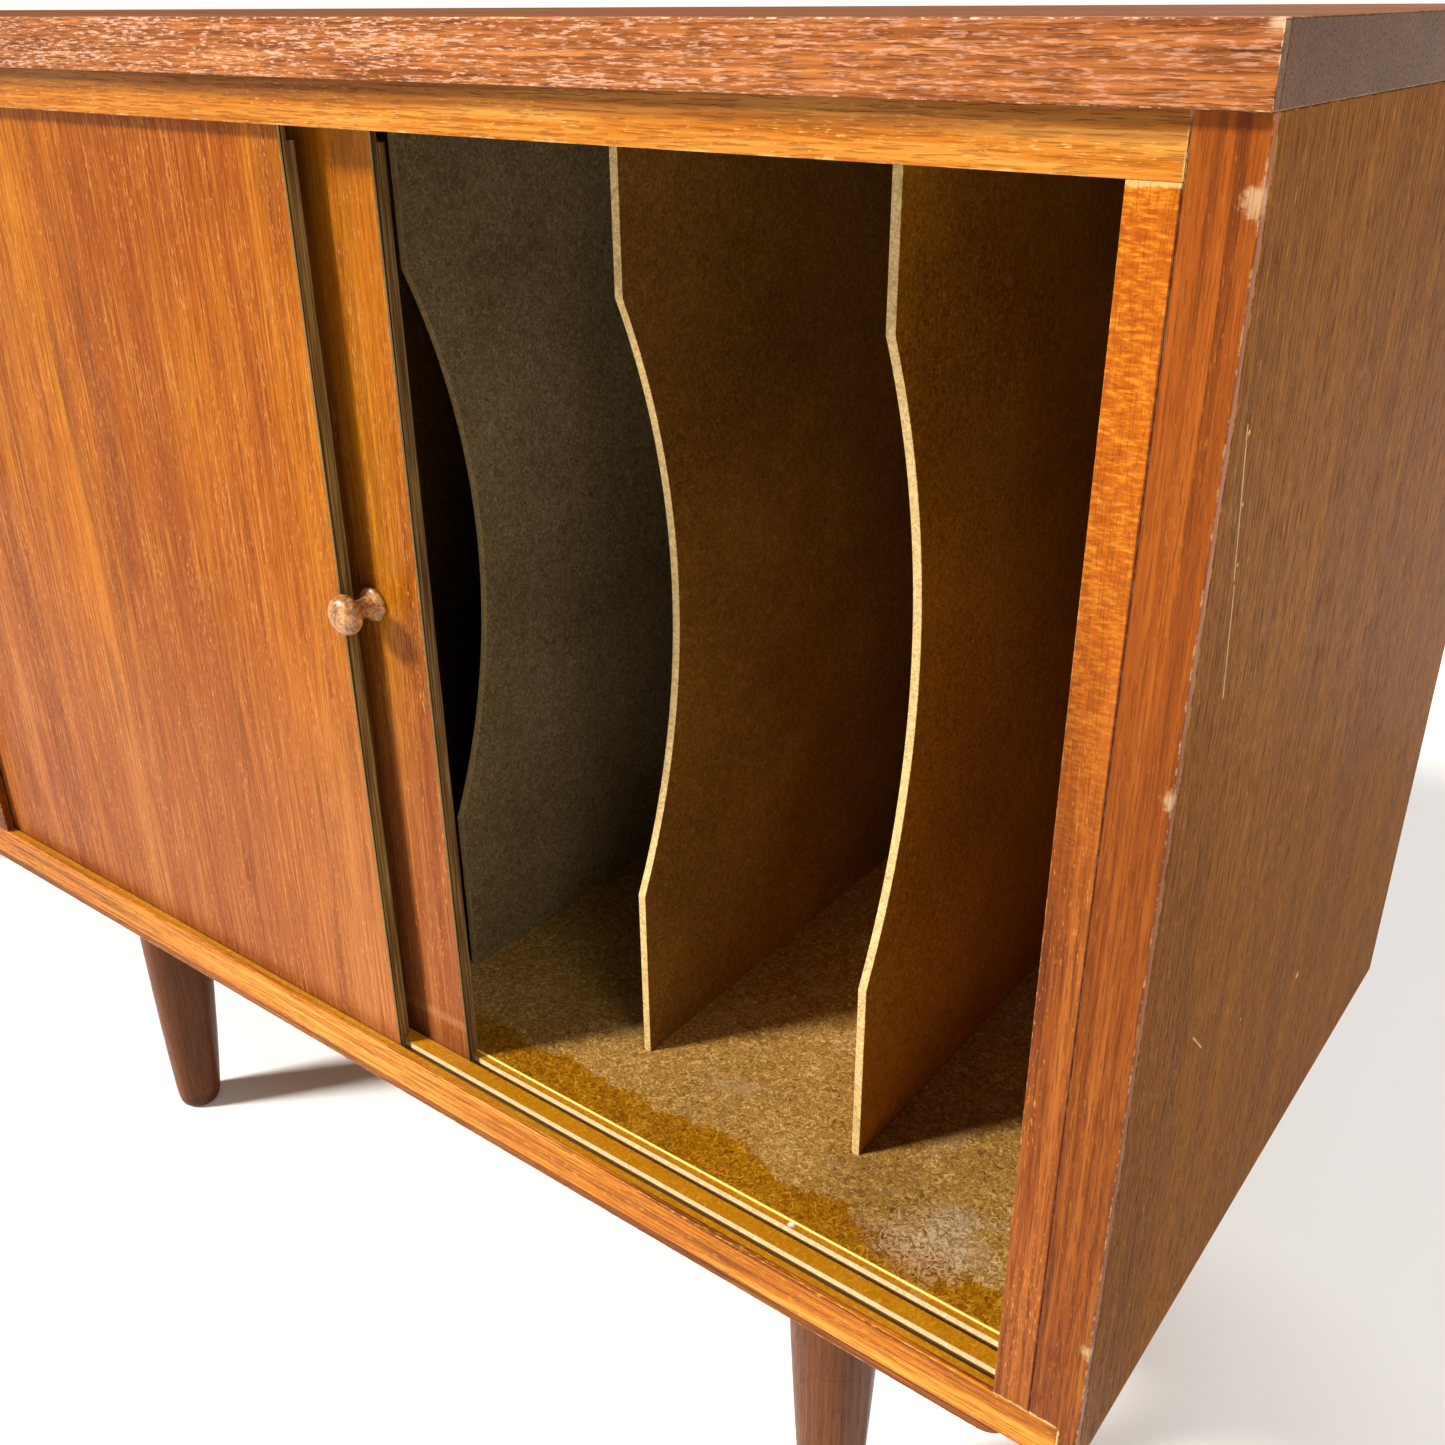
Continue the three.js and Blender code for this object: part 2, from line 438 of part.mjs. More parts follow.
// ---- record player ------------------------------------------------------------------------------------
function player() {
  const boardY = [BAFFLE.front + BAFFLE.thick + GAP, DEPTH - 22 - GAP];
  const boardX = [LEFT_BAY + GAP, PARTITION_LEFT - GAP];
  const through = [DECK_Z - DECK_BOARD - 1, DECK_Z + 1];
  const keyRow = [KEYS.y - KEYS.depth, KEYS.y + 2 * KEYS.pitch + KEYS.depth];
  const openings = [
    box([MOTOR.x - 48, MOTOR.x + 48], [MOTOR.y - 48, MOTOR.y + 48], through),
    box([CONTROL_X - 9, CONTROL_X + 9], keyRow, through),
    cylinder(20, ...through, PLATTER.x, PLATTER.y, 20),
    cylinder(7, ...through, SPEED.x, SPEED.y, 12),
    ...[TUNING.y, ...Object.values(SMALL_KNOBS)].map((y) => cylinder(7, ...through, CONTROL_X, y, 12))];
  add('deck_board', cut(box(boardX, boardY, [DECK_Z - DECK_BOARD, DECK_Z]), openings), teak);

  const plateTop = DECK_Z + PLATE.thick;
  const face = rectangle([PLATE.left, PLATE.right], [PLATE.front, PLATE.back], 12);
  const plate = alongZ(face, DECK_Z, plateTop, 4);
  const restY = [ARM.y - 128, ARM.y - 120];
  const rest = join([box([ARM.x - 3, ARM.x + 3], restY, [plateTop - 1, ARM.z - 10]),
    box([ARM.x - 8, ARM.x + 8], restY, [ARM.z - 13, ARM.z - 4.6])]);
  const spindleBore = cylinder(5, DECK_Z - 1, plateTop + 1, PLATTER.x, PLATTER.y, 16);
  const knobBore = cylinder(SHAFT_BORE, DECK_Z - 1, plateTop + 1, SPEED.x, SPEED.y, 12);
  add('player_deck', cut(join([plate, rest]), [spindleBore, knobBore]), enamel);

  const r = PLATTER.radius;
  const low = plateTop + PLATTER.lift;
  const top = low + PLATTER.height;
  const platter = [[0, DECK_Z - 14], [4.2, DECK_Z - 14], [4.2, low], [r - 2, low], [r, low + 2], [r, top - 2],
    [r - 2, top], [3.6, top], [3.6, top + 24], [2.2, top + 27], [0, top + 27]];
  add('platter', turned(platter, 36).translate(PLATTER.x, PLATTER.y, 0), aluminium);
  const mat = [[4, top + 0.05], [r - 5, top + 0.05], [r - 5, top + 2.6], [r - 14, top + 3], [44, top + 3],
    [42, top + 2.2], [4, top + 2.2], [4, top + 0.05]];
  add('platter_mat', turned(mat, 36).translate(PLATTER.x, PLATTER.y, 0), rubber);
  add('player_motor', join([cylinder(MOTOR.radius, DECK_Z - 64, DECK_Z - 16, MOTOR.x, MOTOR.y, 20),
    cylinder(5, DECK_Z - 17, DECK_Z - GAP, MOTOR.x, MOTOR.y, 12)]), steel);
  const speed = [[0, DECK_Z - 10], [SHAFT, DECK_Z - 10], [SHAFT, plateTop + 0.6], [13, plateTop + 0.6],
    [13, plateTop + 7], [11, plateTop + 8], [0, plateTop + 8]];
  add('speed_knob', turned(speed, 20).translate(SPEED.x, SPEED.y, 0), ivory);

  // tonearm: fixed pillar, swinging gimbal, lifting arm
  const pillar = [[0, plateTop + GAP], [19, plateTop + GAP], [19, plateTop + 5], [12, plateTop + 8],
    [12, ARM.z - 12], [0, ARM.z - 12]];
  add('tonearm_pillar', turned(pillar, 20).translate(ARM.x, ARM.y, 0), enamel);
  const yokeLow = ARM.z - 11.7;
  const gimbal = cut(cylinder(14, yokeLow, ARM.z + 7, ARM.x, ARM.y, 20), [
    box([ARM.x - 7.5, ARM.x + 7.5], [ARM.y - 20, ARM.y + 20], [ARM.z - 8, ARM.z + 8])]);
  add('tonearm_gimbal', gimbal, aluminium);
  const tube = cylinder(4, 0, ARM.reach - 22, 0, 0, 12).rotateX(Math.PI / 2).translate(ARM.x, ARM.y, ARM.z);
  const stylus = ARM.y - ARM.reach;
  const shell = outline([[ARM.x - 9, stylus - 12], [ARM.x + 9, stylus - 12], [ARM.x + 7, stylus + 26],
    [ARM.x - 7, stylus + 26]]);
  const head = alongZ(shell, ARM.z - 4.5, ARM.z + 4.5);
  const cartridge = box([ARM.x - 6, ARM.x + 6], [stylus - 8, stylus + 12], [ARM.z - 10, ARM.z - 4]);
  const tail = cylinder(3.4, 0, ARM.tail, 0, 0, 12).rotateX(-Math.PI / 2).translate(ARM.x, ARM.y, ARM.z);
  const weight = cylinder(11, ...ARM.weight, 0, 0, 20).rotateX(-Math.PI / 2).translate(ARM.x, ARM.y, ARM.z);
  const trunnion = box([ARM.x - 7, ARM.x + 7], [ARM.y - 7, ARM.y + 7], [ARM.z - 6, ARM.z + 6]);
  add('tonearm', join([tube, head, cartridge, tail, weight, trunnion]), ivory);
}

// ---- radio --------------------------------------------------------------------------------------------
function radio() {
  const low = DECK_Z + GAP;
  const top = DECK_Z + PANEL.height;
  const face = rectangle([PANEL.left, PANEL.right], [PANEL.front, PANEL.back], 4);
  const knobs = { tuning_knob: TUNING.y, ...SMALL_KNOBS };
  const pocket = box([DIAL.left, DIAL.right], [DIAL.front, DIAL.back], [top - DIAL.depth, top + 1]);
  const bores = Object.values(knobs).map((y) => cylinder(SHAFT_BORE, low - 1, top + 1, CONTROL_X, y, 12));
  const keyY = KEYS.names.map((_, i) => KEYS.y + i * KEYS.pitch);
  const slotX = [CONTROL_X - 5.5, CONTROL_X + 5.5];
  const slots = keyY.map((y) => box(slotX, [y - 5.5, y + 5.5], [low - 1, top + 1]));
  add('radio_panel', cut(alongZ(face, low, top, 3), [pocket, ...bores, ...slots]), aluminium);

  const paneX = [DIAL.left + GAP, DIAL.right - GAP];
  const pane = box(paneX, [DIAL.front + GAP, DIAL.back - GAP], [top - 2.2, top - 0.2]);
  add('dial_glass', pane, glass);
  add('dial_pointer', box([DIAL.left + 3, DIAL.right - 3], [DIAL.front + 20, DIAL.front + 21.6],
    [top - DIAL.depth + 0.8, top - 3]), black);

  for (const [name, y] of Object.entries(knobs)) {
    const r = name === 'tuning_knob' ? TUNING.radius : 14;
    const h = name === 'tuning_knob' ? TUNING.height : 13;
    const z = top + 0.8;
    const profile = [[0, DECK_Z - 5], [SHAFT, DECK_Z - 5], [SHAFT, z], [r, z], [r, z + h - 2.5], [r - 2, z + h],
      [0, z + h]];
    add(name, turned(profile, 24).translate(CONTROL_X, y, 0), ivory);
  }
  KEYS.names.forEach((name, i) => {
    const y = keyY[i];
    const [front, back] = [y - KEYS.depth / 2, y + KEYS.depth / 2];
    const base = [[front, top + 5], [back, top + 5]];
    const section = outline([...base, [back, top + 10], [y, top + 11.5], [front, top + 12]]);
    const cap = alongX(section, CONTROL_X - KEYS.width / 2, CONTROL_X + KEYS.width / 2);
    const stem = box([CONTROL_X - 4.5, CONTROL_X + 4.5], [y - 4.5, y + 4.5], [DECK_Z - 3, top + 6]);
    add(name, join([cap, stem]), ivory);
  });

  const chassisX = [PANEL.left + 10, PANEL.right - 10];
  add('tuner_chassis', box(chassisX, [PANEL.front + 10, PANEL.back - 10], [DECK_Z - 78, DECK_Z - 15]), steel);

  // amplifier on the cabinet floor: tray, mains and output transformers, three valves
  const floor = Z_FLOOR + FLOOR_STEP + GAP;
  const { left, right, front, back } = AMPLIFIER;
  const deck = floor + AMPLIFIER.height;
  const middle = (front + back) / 2;
  const tray = box([left, right], [front, back], [floor, deck]);
  const mainsIron = box([left + 8, left + 68], [middle - 40, middle + 40], [deck - 1, deck + 60]);
  const outputIron = box([right - 50, right - 8], [middle - 30, middle + 30], [deck - 1, deck + 43]);
  const valves = VALVES_X.map((x) => cylinder(10.5, deck - 1, deck + 67, x, middle, 14));
  add('amplifier', join([tray, mainsIron, outputIron, ...valves]), steel);
}

topBoards();
innerTop();
bottom();
uprights();
backPanels();
dividers();
slidingDoor('front', FRONT_TRACK, -1);
slidingDoor('rear', REAR_TRACK, 1);
legs();
lid();
speakerFront();
player();
radio();

export default model;
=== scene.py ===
"""Looks of a long teak radio phonograph console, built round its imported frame.

Everything is in metres in the frame's own axes: +X right along the front, +Y to the back, +Z up.
"""
import math
import random

import bmesh
import bpy
from mathutils import Matrix, Vector


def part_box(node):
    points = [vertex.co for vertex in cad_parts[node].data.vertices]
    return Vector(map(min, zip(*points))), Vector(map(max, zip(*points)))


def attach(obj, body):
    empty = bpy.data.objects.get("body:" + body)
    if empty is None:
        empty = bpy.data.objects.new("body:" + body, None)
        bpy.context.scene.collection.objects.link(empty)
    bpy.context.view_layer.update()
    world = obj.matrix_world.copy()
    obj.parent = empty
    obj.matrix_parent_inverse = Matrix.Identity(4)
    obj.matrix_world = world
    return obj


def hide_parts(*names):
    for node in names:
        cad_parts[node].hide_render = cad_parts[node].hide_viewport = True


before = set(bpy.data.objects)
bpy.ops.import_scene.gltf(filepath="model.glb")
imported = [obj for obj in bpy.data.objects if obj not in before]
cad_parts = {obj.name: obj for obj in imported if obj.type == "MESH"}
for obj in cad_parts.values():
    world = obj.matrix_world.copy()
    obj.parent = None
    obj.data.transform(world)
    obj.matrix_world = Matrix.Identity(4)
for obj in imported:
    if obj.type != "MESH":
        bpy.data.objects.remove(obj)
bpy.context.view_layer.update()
random.seed(7)
MM = 0.001

# ---- driving places, from the frame ----------------------------------------------------------------------
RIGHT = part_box("right_side")[1].x
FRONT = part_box("right_side_lipping")[0].y
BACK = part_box("right_side")[1].y
FLOOR_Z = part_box("right_jamb")[0].z
RAIL_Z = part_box("right_jamb")[1].z
TOP_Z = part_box("top_board")[1].z
JOINT_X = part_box("right_side")[0].x
TAIL = 7.5 * MM


def place(x, y, z):
    """A point given in millimetres from the right side's outer face, the case front and the ground."""
    return Vector((RIGHT + x * MM, FRONT + y * MM, z * MM))


def rgb(red, green, blue):
    """Display colour from 0 to 255, as linear light."""
    def linear(c):
        c /= 255
        return c / 12.92 if c <= 0.04045 else ((c + 0.055) / 1.055) ** 2.4
    return (linear(red), linear(green), linear(blue), 1.0)


# ---- camera and stage ------------------------------------------------------------------------------------
# where the photograph was taken from, in metres, degrees and millimetres of lens
EYE = {"at": (0.7326, -0.5380, 0.6495), "yaw": 37.17, "pitch": 26.51, "roll": -0.50, "lens": 36.19}
# what the lamps are aimed at, and how far off the large ones stand
LAMP_AIM = Vector((0.3, -0.1, 0.35))
LAMP_REACH = {"front_fill": 3.5, "right_fill": 3.2, "back_fill": 3.6}


def add_camera():
    yaw, pitch, roll = (math.radians(EYE[k]) for k in ("yaw", "pitch", "roll"))
    forward = Vector((-math.sin(yaw) * math.cos(pitch), math.cos(yaw) * math.cos(pitch), -math.sin(pitch)))
    level = Vector((math.cos(yaw), math.sin(yaw), 0))
    upright = level.cross(forward)
    right = level * math.cos(roll) + upright * math.sin(roll)
    up = upright * math.cos(roll) - level * math.sin(roll)
    data = bpy.data.cameras.new("camera")
    data.lens = EYE["lens"]
    data.sensor_width = 36
    data.clip_start = 0.02
    camera = bpy.data.objects.new("camera", data)
    turn = Matrix((right, up, -forward)).transposed().to_4x4()
    camera.matrix_world = Matrix.Translation(EYE["at"]) @ turn
    bpy.context.scene.collection.objects.link(camera)
    bpy.context.scene.camera = camera


def add_lamp(kind, name, azimuth, elevation, energy, colour, **form):
    """A lamp aimed at the console; azimuth 0 stands in front of it and grows towards its left."""
    a, e = math.radians(azimuth), math.radians(elevation)
    away = Vector((-math.sin(a) * math.cos(e), -math.cos(a) * math.cos(e), math.sin(e)))
    data = bpy.data.lights.new(name, kind)
    data.energy = energy
    data.color = colour
    for key, value in form.items():
        setattr(data, key, value)
    light = bpy.data.objects.new(name, data)
    light.location = LAMP_AIM + away * LAMP_REACH.get(name, 4)
    light.rotation_euler = (-away).to_track_quat("-Z", "Y").to_euler()
    bpy.context.scene.collection.objects.link(light)


def add_stage():
    world = bpy.data.worlds.new("studio")
    bpy.context.scene.world = world
    world.use_nodes = True
    tree = world.node_tree
    background = tree.nodes["Background"]
    background.inputs["Color"].default_value = (1.0, 0.985, 0.965, 1)
    # a dim studio with a white wall low down all round, in front of a plain white backdrop
    where = tree.nodes.new("ShaderNodeTexCoord")
    height = tree.nodes.new("ShaderNodeSeparateXYZ")
    wall = tree.nodes.new("ShaderNodeMapRange")
    tree.links.new(where.outputs["Generated"], height.inputs[0])
    tree.links.new(height.outputs["Z"], wall.inputs["Value"])
    for key, value in (("From Min", 0.03), ("From Max", 0.16), ("To Min", 1.0), ("To Max", 0.08)):
        wall.inputs[key].default_value = value
    ray = tree.nodes.new("ShaderNodeLightPath")
    shown = tree.nodes.new("ShaderNodeMath")
    shown.operation = "MAXIMUM"
    tree.links.new(wall.outputs[0], shown.inputs[0])
    tree.links.new(ray.outputs["Is Camera Ray"], shown.inputs[1])
    tree.links.new(shown.outputs[0], background.inputs["Strength"])
    mesh = bpy.data.meshes.new("studio_floor")
    half = 40
    corners = [(x * half, y * half, 0) for x, y in ((-1, -1), (1, -1), (1, 1), (-1, 1))]
    mesh.from_pydata(corners, [], [(0, 1, 2, 3)])
    floor = bpy.data.objects.new("studio_floor", mesh)
    bpy.context.scene.collection.objects.link(floor)
    g = Graph("studio_floor")
    g.shader(rgb(250, 249, 248), rough=0.9, specular=0.1)
    mesh.materials.append(g.material)
    add_lamp("SUN", "key", 41, 35, 5.9, (1.0, 0.965, 0.91), angle=math.radians(10.5))
    add_lamp("AREA", "front_fill", -8, 52, 4, (1.0, 0.98, 0.96), shape="DISK", size=2.4)
    add_lamp("AREA", "right_fill", -84, 46, 74, (1.0, 0.975, 0.94), shape="DISK", size=2.4)
    add_lamp("AREA", "back_fill", 175, 50, 44, (1.0, 0.98, 0.96), shape="DISK", size=2.4)
    bpy.context.scene.view_settings.view_transform = "Standard"


# ---- node graphs -----------------------------------------------------------------------------------------
class Graph:
    """A material's node tree with short calls for the nodes that the finishes share."""

    def __init__(self, name):
        self.material = bpy.data.materials.new(name)
        self.material.use_nodes = True
        self.tree = self.material.node_tree
        self.tree.nodes.clear()
        self.coords = None

    def node(self, kind, **settings):
        node = self.tree.nodes.new("ShaderNode" + kind)
        for key, value in settings.items():
            setattr(node, key, value)
        return node

    def feed(self, socket, value):
        if isinstance(value, bpy.types.NodeSocket):
            self.tree.links.new(value, socket)
        elif value is not None:
            socket.default_value = value

    def position(self):
        if self.coords is None:
            self.coords = self.node("TexCoord")
        return self.coords.outputs["Object"]

    def facing(self):
        self.position()
        return self.coords.outputs["Normal"]

    def math(self, operation, a, b=None, c=None):
        node = self.node("Math", operation=operation)
        for socket, value in zip(node.inputs, (a, b, c)):
            self.feed(socket, value)
        return node.outputs[0]

    def times(self, a, b, plus=None):
        """a times b, and plus added to it if it is given."""
        return self.math("MULTIPLY", a, b) if plus is None else self.math("MULTIPLY_ADD", a, b, plus)

    def sway(self, noise, amount, about):
        """A value that noise moves up and down about a middle value."""
        return self.math("MULTIPLY_ADD", self.math("SUBTRACT", noise, 0.5), amount, about)

    def gap(self, a, b):
        """How far apart two values are."""
        return self.math("ABSOLUTE", self.math("SUBTRACT", a, b))

    def split(self, vector):
        node = self.node("SeparateXYZ")
        self.feed(node.inputs[0], vector)
        return node.outputs

    def scaled(self, scale, offset=(0, 0, 0), vector=None):
        node = self.node("Mapping")
        self.feed(node.inputs["Vector"], vector or self.position())
        self.feed(node.inputs["Scale"], scale)
        self.feed(node.inputs["Location"], offset)
        return node.outputs[0]

    def noise(self, vector, scale=1.0, detail=2.0, rough=0.5, distortion=0.0):
        node = self.node("TexNoise")
        self.feed(node.inputs["Vector"], vector)
        for key, value in (("Scale", scale), ("Detail", detail), ("Roughness", rough),
                           ("Distortion", distortion)):
            self.feed(node.inputs[key], value)
        return node.outputs["Fac"]

    def cloud(self, scale, detail, rough, offset=(0, 0, 0), distortion=0.0):
        """Noise with scale features to a metre, the same on every axis or one for each."""
        scale = scale if isinstance(scale, tuple) else (scale,) * 3
        return self.noise(self.scaled(scale, offset), 1, detail, rough, distortion)

    def band(self, value, low, high, to_low=0.0, to_high=1.0):
        """value from low to high as a smooth step from to_low to to_high."""
        node = self.node("MapRange", interpolation_type="SMOOTHSTEP")
        inputs = (value, low, high, to_low, to_high)
        for key, v in zip(("Value", "From Min", "From Max", "To Min", "To Max"), inputs):
            self.feed(node.inputs[key], v)
        return node.outputs[0]

    def step(self, value, datum, low, high, to_low=0.0, to_high=1.0):
        """A band whose ends are in millimetres from a datum."""
        return self.band(value, datum + low * MM, datum + high * MM, to_low, to_high)

    def ramp(self, value, stops):
        node = self.node("ValToRGB")
        elements = node.color_ramp.elements
        while len(elements) < len(stops):
            elements.new(0.5)
        for element, (where, colour) in zip(elements, stops):
            element.position = where
            element.color = colour
        self.feed(node.inputs[0], value)
        return node.outputs[0]

    def mix(self, share, a, b, blend="MIX"):
        node = self.node("Mix", data_type="RGBA", blend_type=blend)
        self.feed(node.inputs["Factor"], share)
        self.feed(node.inputs[6], a)
        self.feed(node.inputs[7], b)
        return node.outputs[2]

    def bump(self, height, distance, strength=1.0):
        node = self.node("Bump")
        self.feed(node.inputs["Height"], height)
        self.feed(node.inputs["Distance"], distance)
        self.feed(node.inputs["Strength"], strength)
        return node.outputs[0]

    def shader(self, colour, rough=0.5, specular=0.5, metal=0.0, normal=None, coat=0.0, coat_rough=0.2,
               sheen=0.0):
        node = self.node("BsdfPrincipled")
        pairs = {"Base Color": colour, "Roughness": rough, "Specular IOR Level": specular, "Metallic": metal,
                 "Normal": normal, "Coat Weight": coat, "Coat Roughness": coat_rough, "Sheen Weight": sheen,
                 "IOR": 1.45}
        for key, value in pairs.items():
            self.feed(node.inputs[key], value)
        out = self.node("OutputMaterial")
        self.tree.links.new(node.outputs[0], out.inputs[0])
        return self.material

    def arris(self, box, width, breakup=300):
        """1 on the sharp edges of a box-shaped piece, fading in over width and broken by noise."""
        lo, hi = box
        x, y, z = self.split(self.position())
        depth = [self.math("SUBTRACT", (b - a) / 2, self.gap(v, (a + b) / 2))
                 for v, a, b in zip((x, y, z), lo, hi)]
        nearer = self.math("MINIMUM", depth[0], depth[1])
        farther = self.math("MAXIMUM", depth[0], depth[1])
        second = self.math("MAXIMUM", nearer, self.math("MINIMUM", farther, depth[2]))
        rough = self.noise(self.position(), breakup, 3, 0.6)
        reach = self.times(self.band(rough, 0.38, 0.72), width)
        return self.band(self.math("SUBTRACT", second, reach), -width * 0.25, width * 0.25, 1, 0)

    def near(self, point, radius, breakup=60, wobble=0.5):
        """1 close to a point, fading out at radius."""
        node = self.node("VectorMath", operation="DISTANCE")
        self.feed(node.inputs[0], self.position())
        self.feed(node.inputs[1], tuple(point))
        rough = self.noise(self.position(), breakup, 3, 0.6)
        reach = self.times(rough, -2 * wobble * radius, node.outputs["Value"])
        return self.band(reach, -wobble * radius * 0.6, radius * (1 - wobble), 1, 0)

    def score(self, start, end, width):
        """1 along a thin scratch between two points."""
        reach = Vector(end) - Vector(start)
        apart = self.node("VectorMath", operation="SUBTRACT")
        self.feed(apart.inputs[0], self.position())
        self.feed(apart.inputs[1], tuple(start))
        dot = self.node("VectorMath", operation="DOT_PRODUCT")
        self.feed(dot.inputs[0], apart.outputs[0])
        self.feed(dot.inputs[1], tuple(reach.normalized()))
        foot = self.math("MINIMUM", self.math("MAXIMUM", dot.outputs["Value"], 0.0), reach.length)
        step = self.node("VectorMath", operation="SCALE")
        self.feed(step.inputs[0], tuple(reach.normalized()))
        self.feed(step.inputs["Scale"], foot)
        gap = self.node("VectorMath", operation="DISTANCE")
        self.feed(gap.inputs[0], apart.outputs[0])
        self.feed(gap.inputs[1], step.outputs[0])
        wander = self.cloud(150, 3, 0.7)
        return self.band(self.times(wander, -width, gap.outputs["Value"]), -0.2 * width, 0.5 * width, 1, 0)


AXES = {"X": 0, "Y": 1, "Z": 2}


def along(axis, lengthwise, across):
    """Scale of a texture that is drawn out along one axis."""
    scale = [across] * 3
    scale[AXES[axis]] = lengthwise
    return tuple(scale)


class Wood(Graph):
    """Teak: growth bands, fine streaks and pores drawn out along the grain."""

    def __init__(self, name, tones, grain, seed=0.0, bands=34, figure=0.5, streak=0.35, pores=0.5):
        super().__init__(name)
        self.grain = grain
        offset = (seed * 1.7, seed * 2.3, seed * 3.1)
        slow = self.cloud(along(grain, 1.2, 5), 2, 0.5, offset)
        warp = self.node("VectorMath", operation="SCALE")
        self.feed(warp.inputs[0], self.noise_colour(self.scaled(along(grain, 2.2, 7), offset)))
        self.feed(warp.inputs["Scale"], 0.035)
        bent = self.node("VectorMath", operation="ADD")
        self.feed(bent.inputs[0], self.position())
        self.feed(bent.inputs[1], warp.outputs[0])
        rings = self.noise(self.scaled(along(grain, bands * 0.045, bands), offset, bent.outputs[0]), 1, 4,
                           0.62)
        fine = self.cloud(along(grain, 11, 640), 3, 0.62, offset)
        self.pore = self.band(self.cloud(along(grain, 75, 1300), 1, 0.5, offset), 0.55, 0.63)
        self.fine = fine
        tone = self.sway(rings, 2.2 * figure, 0.5)
        tone = self.sway(fine, 2.6 * streak, tone)
        tone = self.sway(slow, 0.5, tone)
        self.tone = tone
        dark, mid, light = tones
        self.colour = self.ramp(tone, [(0.1, dark), (0.5, mid), (0.9, light)])
        self.colour = self.mix(self.times(self.pore, pores * 0.55), self.colour, dark)

    def noise_colour(self, vector):
        node = self.node("TexNoise")
        self.feed(node.inputs["Vector"], vector)
        self.feed(node.inputs["Scale"], 1.0)
        return node.outputs["Color"]

    def paint(self, mask, colour, strength=1.0):
        share = self.times(mask, strength) if strength != 1.0 else mask
        self.colour = self.mix(share, self.colour, colour)

    def flecks(self, colour, amount=0.5, patchy=0.5, where=None):
        """Short pale dashes of open pores along the grain."""
        dash = self.cloud(along(self.grain, 230, 1700), 2, 0.6, (3, 5, 7), 0.2)
        patch = self.cloud(along(self.grain, 14, 190), 3, 0.6, (9, 1, 4))
        lift = self.sway(patch, 0.4 * patchy, dash)
        mask = self.band(lift, 0.64 - 0.13 * amount, 0.74 - 0.08 * amount)
        if where:
            mask = self.times(mask, where)
        self.paint(mask, colour, 0.8)

    def finish(self, rough=0.42, coat=0.0, coat_rough=0.25, relief=0.00012, specular=0.07,
               varnish=(0.74, 0.66, 0.46, 1)):
        if varnish:
            self.colour = self.mix(1.0, self.colour, varnish, "MULTIPLY")
        height = self.math("SUBTRACT", self.fine, self.times(self.pore, 1.6))
        normal = self.bump(height, relief, 0.8)
        varied = self.times(self.pore, 0.14, self.times(self.fine, 0.16, rough - 0.08))
        return self.shader(self.colour, varied, specular, normal=normal, coat=coat, coat_rough=coat_rough)


# ---- finishes --------------------------------------------------------------------------------------------
PALE = rgb(236, 206, 172)
CREAM = rgb(232, 214, 168)


def top_lipping(name, node, seed, worn_corner=None):
    g = Wood(name, (rgb(88, 42, 14), rgb(142, 80, 36), rgb(180, 112, 58)), "X", seed, 60, 0.6, 0.6, 0.9)
    x = g.split(g.position())[0]
    g.flecks(rgb(224, 176, 150), 1.0, 0.7, g.band(x, 0.3, 0.6, 0.85, 0.35))
    g.paint(g.arris(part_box(node), 0.6 * MM), PALE, 0.6)
    if worn_corner:
        g.paint(g.near(worn_corner, 5 * MM, 160), rgb(226, 178, 140), 0.7)
    # Painted shade: the right-facing end face is painted dark.
    end = g.band(g.split(g.facing())[0], 0.5, 0.9)
    g.paint(end, rgb(72, 50, 24), 0.8)
    return g.finish(0.36, 0.08, 0.3, 0.0003, varnish=None)


def rail_wood():
    g = Wood("rail_teak", (rgb(146, 80, 14), rgb(198, 122, 34), rgb(232, 170, 88)), "X", 2.0, 60, 0.8, 0.5,
             0.8)
    g.flecks(rgb(246, 206, 150), 0.2, 0.8)
    x, y, z = g.split(g.position())
    crumbs = g.cloud((160, 160, 260), 3, 0.6)
    lower = g.step(g.times(crumbs, -4.5 * MM, z), RAIL_Z, -2.6, -1.9, 1, 0)
    g.paint(lower, CREAM, 0.5)
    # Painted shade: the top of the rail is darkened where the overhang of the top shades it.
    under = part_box("top_rail")[1].z
    g.paint(g.step(z, under, -9, -6, 0, 0.5), rgb(96, 60, 36))
    joint = g.step(g.times(crumbs, 1.6 * MM, x), JOINT_X, 0.3, 0.9)
    g.paint(joint, CREAM, 0.6)
    return g.finish(0.36, 0.12, 0.3, 0.0002)


def lipping_wood(name, node, grain, tones, seed, fade=None, joint=None, marks=()):
    """Solid edging. fade is a paler top tone, joint a function that masks old filler."""
    g = Wood(name, tones, grain, seed, 55, 0.6, 0.5, 0.8)
    if fade:
        z = g.split(g.position())[2]
        g.paint(g.band(z, FLOOR_Z + 0.1, RAIL_Z, 0, 0.4), fade)
        streak = g.cloud((190, 30, 3), 3, 0.6, (6, 2, 8))
        g.paint(g.times(g.band(streak, 0.52, 0.62, 0, 0.6), g.band(z, 0.4, 0.5)), tones[0])
    g.flecks(tones[2], 0.35, 0.9)
    g.paint(g.arris(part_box(node), 0.5 * MM), PALE, 0.5)
    for point, radius in marks:
        g.paint(g.near(point, radius, 420, 0.8), rgb(214, 188, 166), 0.6)
    if joint:
        x = g.split(g.position())[0]
        g.paint(g.step(x, JOINT_X, 0.4, 0.7, 0.7, 0), rgb(84, 28, 6))
        g.paint(joint(g), CREAM, 0.8)
    return g.finish(0.38, 0.1, 0.3, 0.00015)


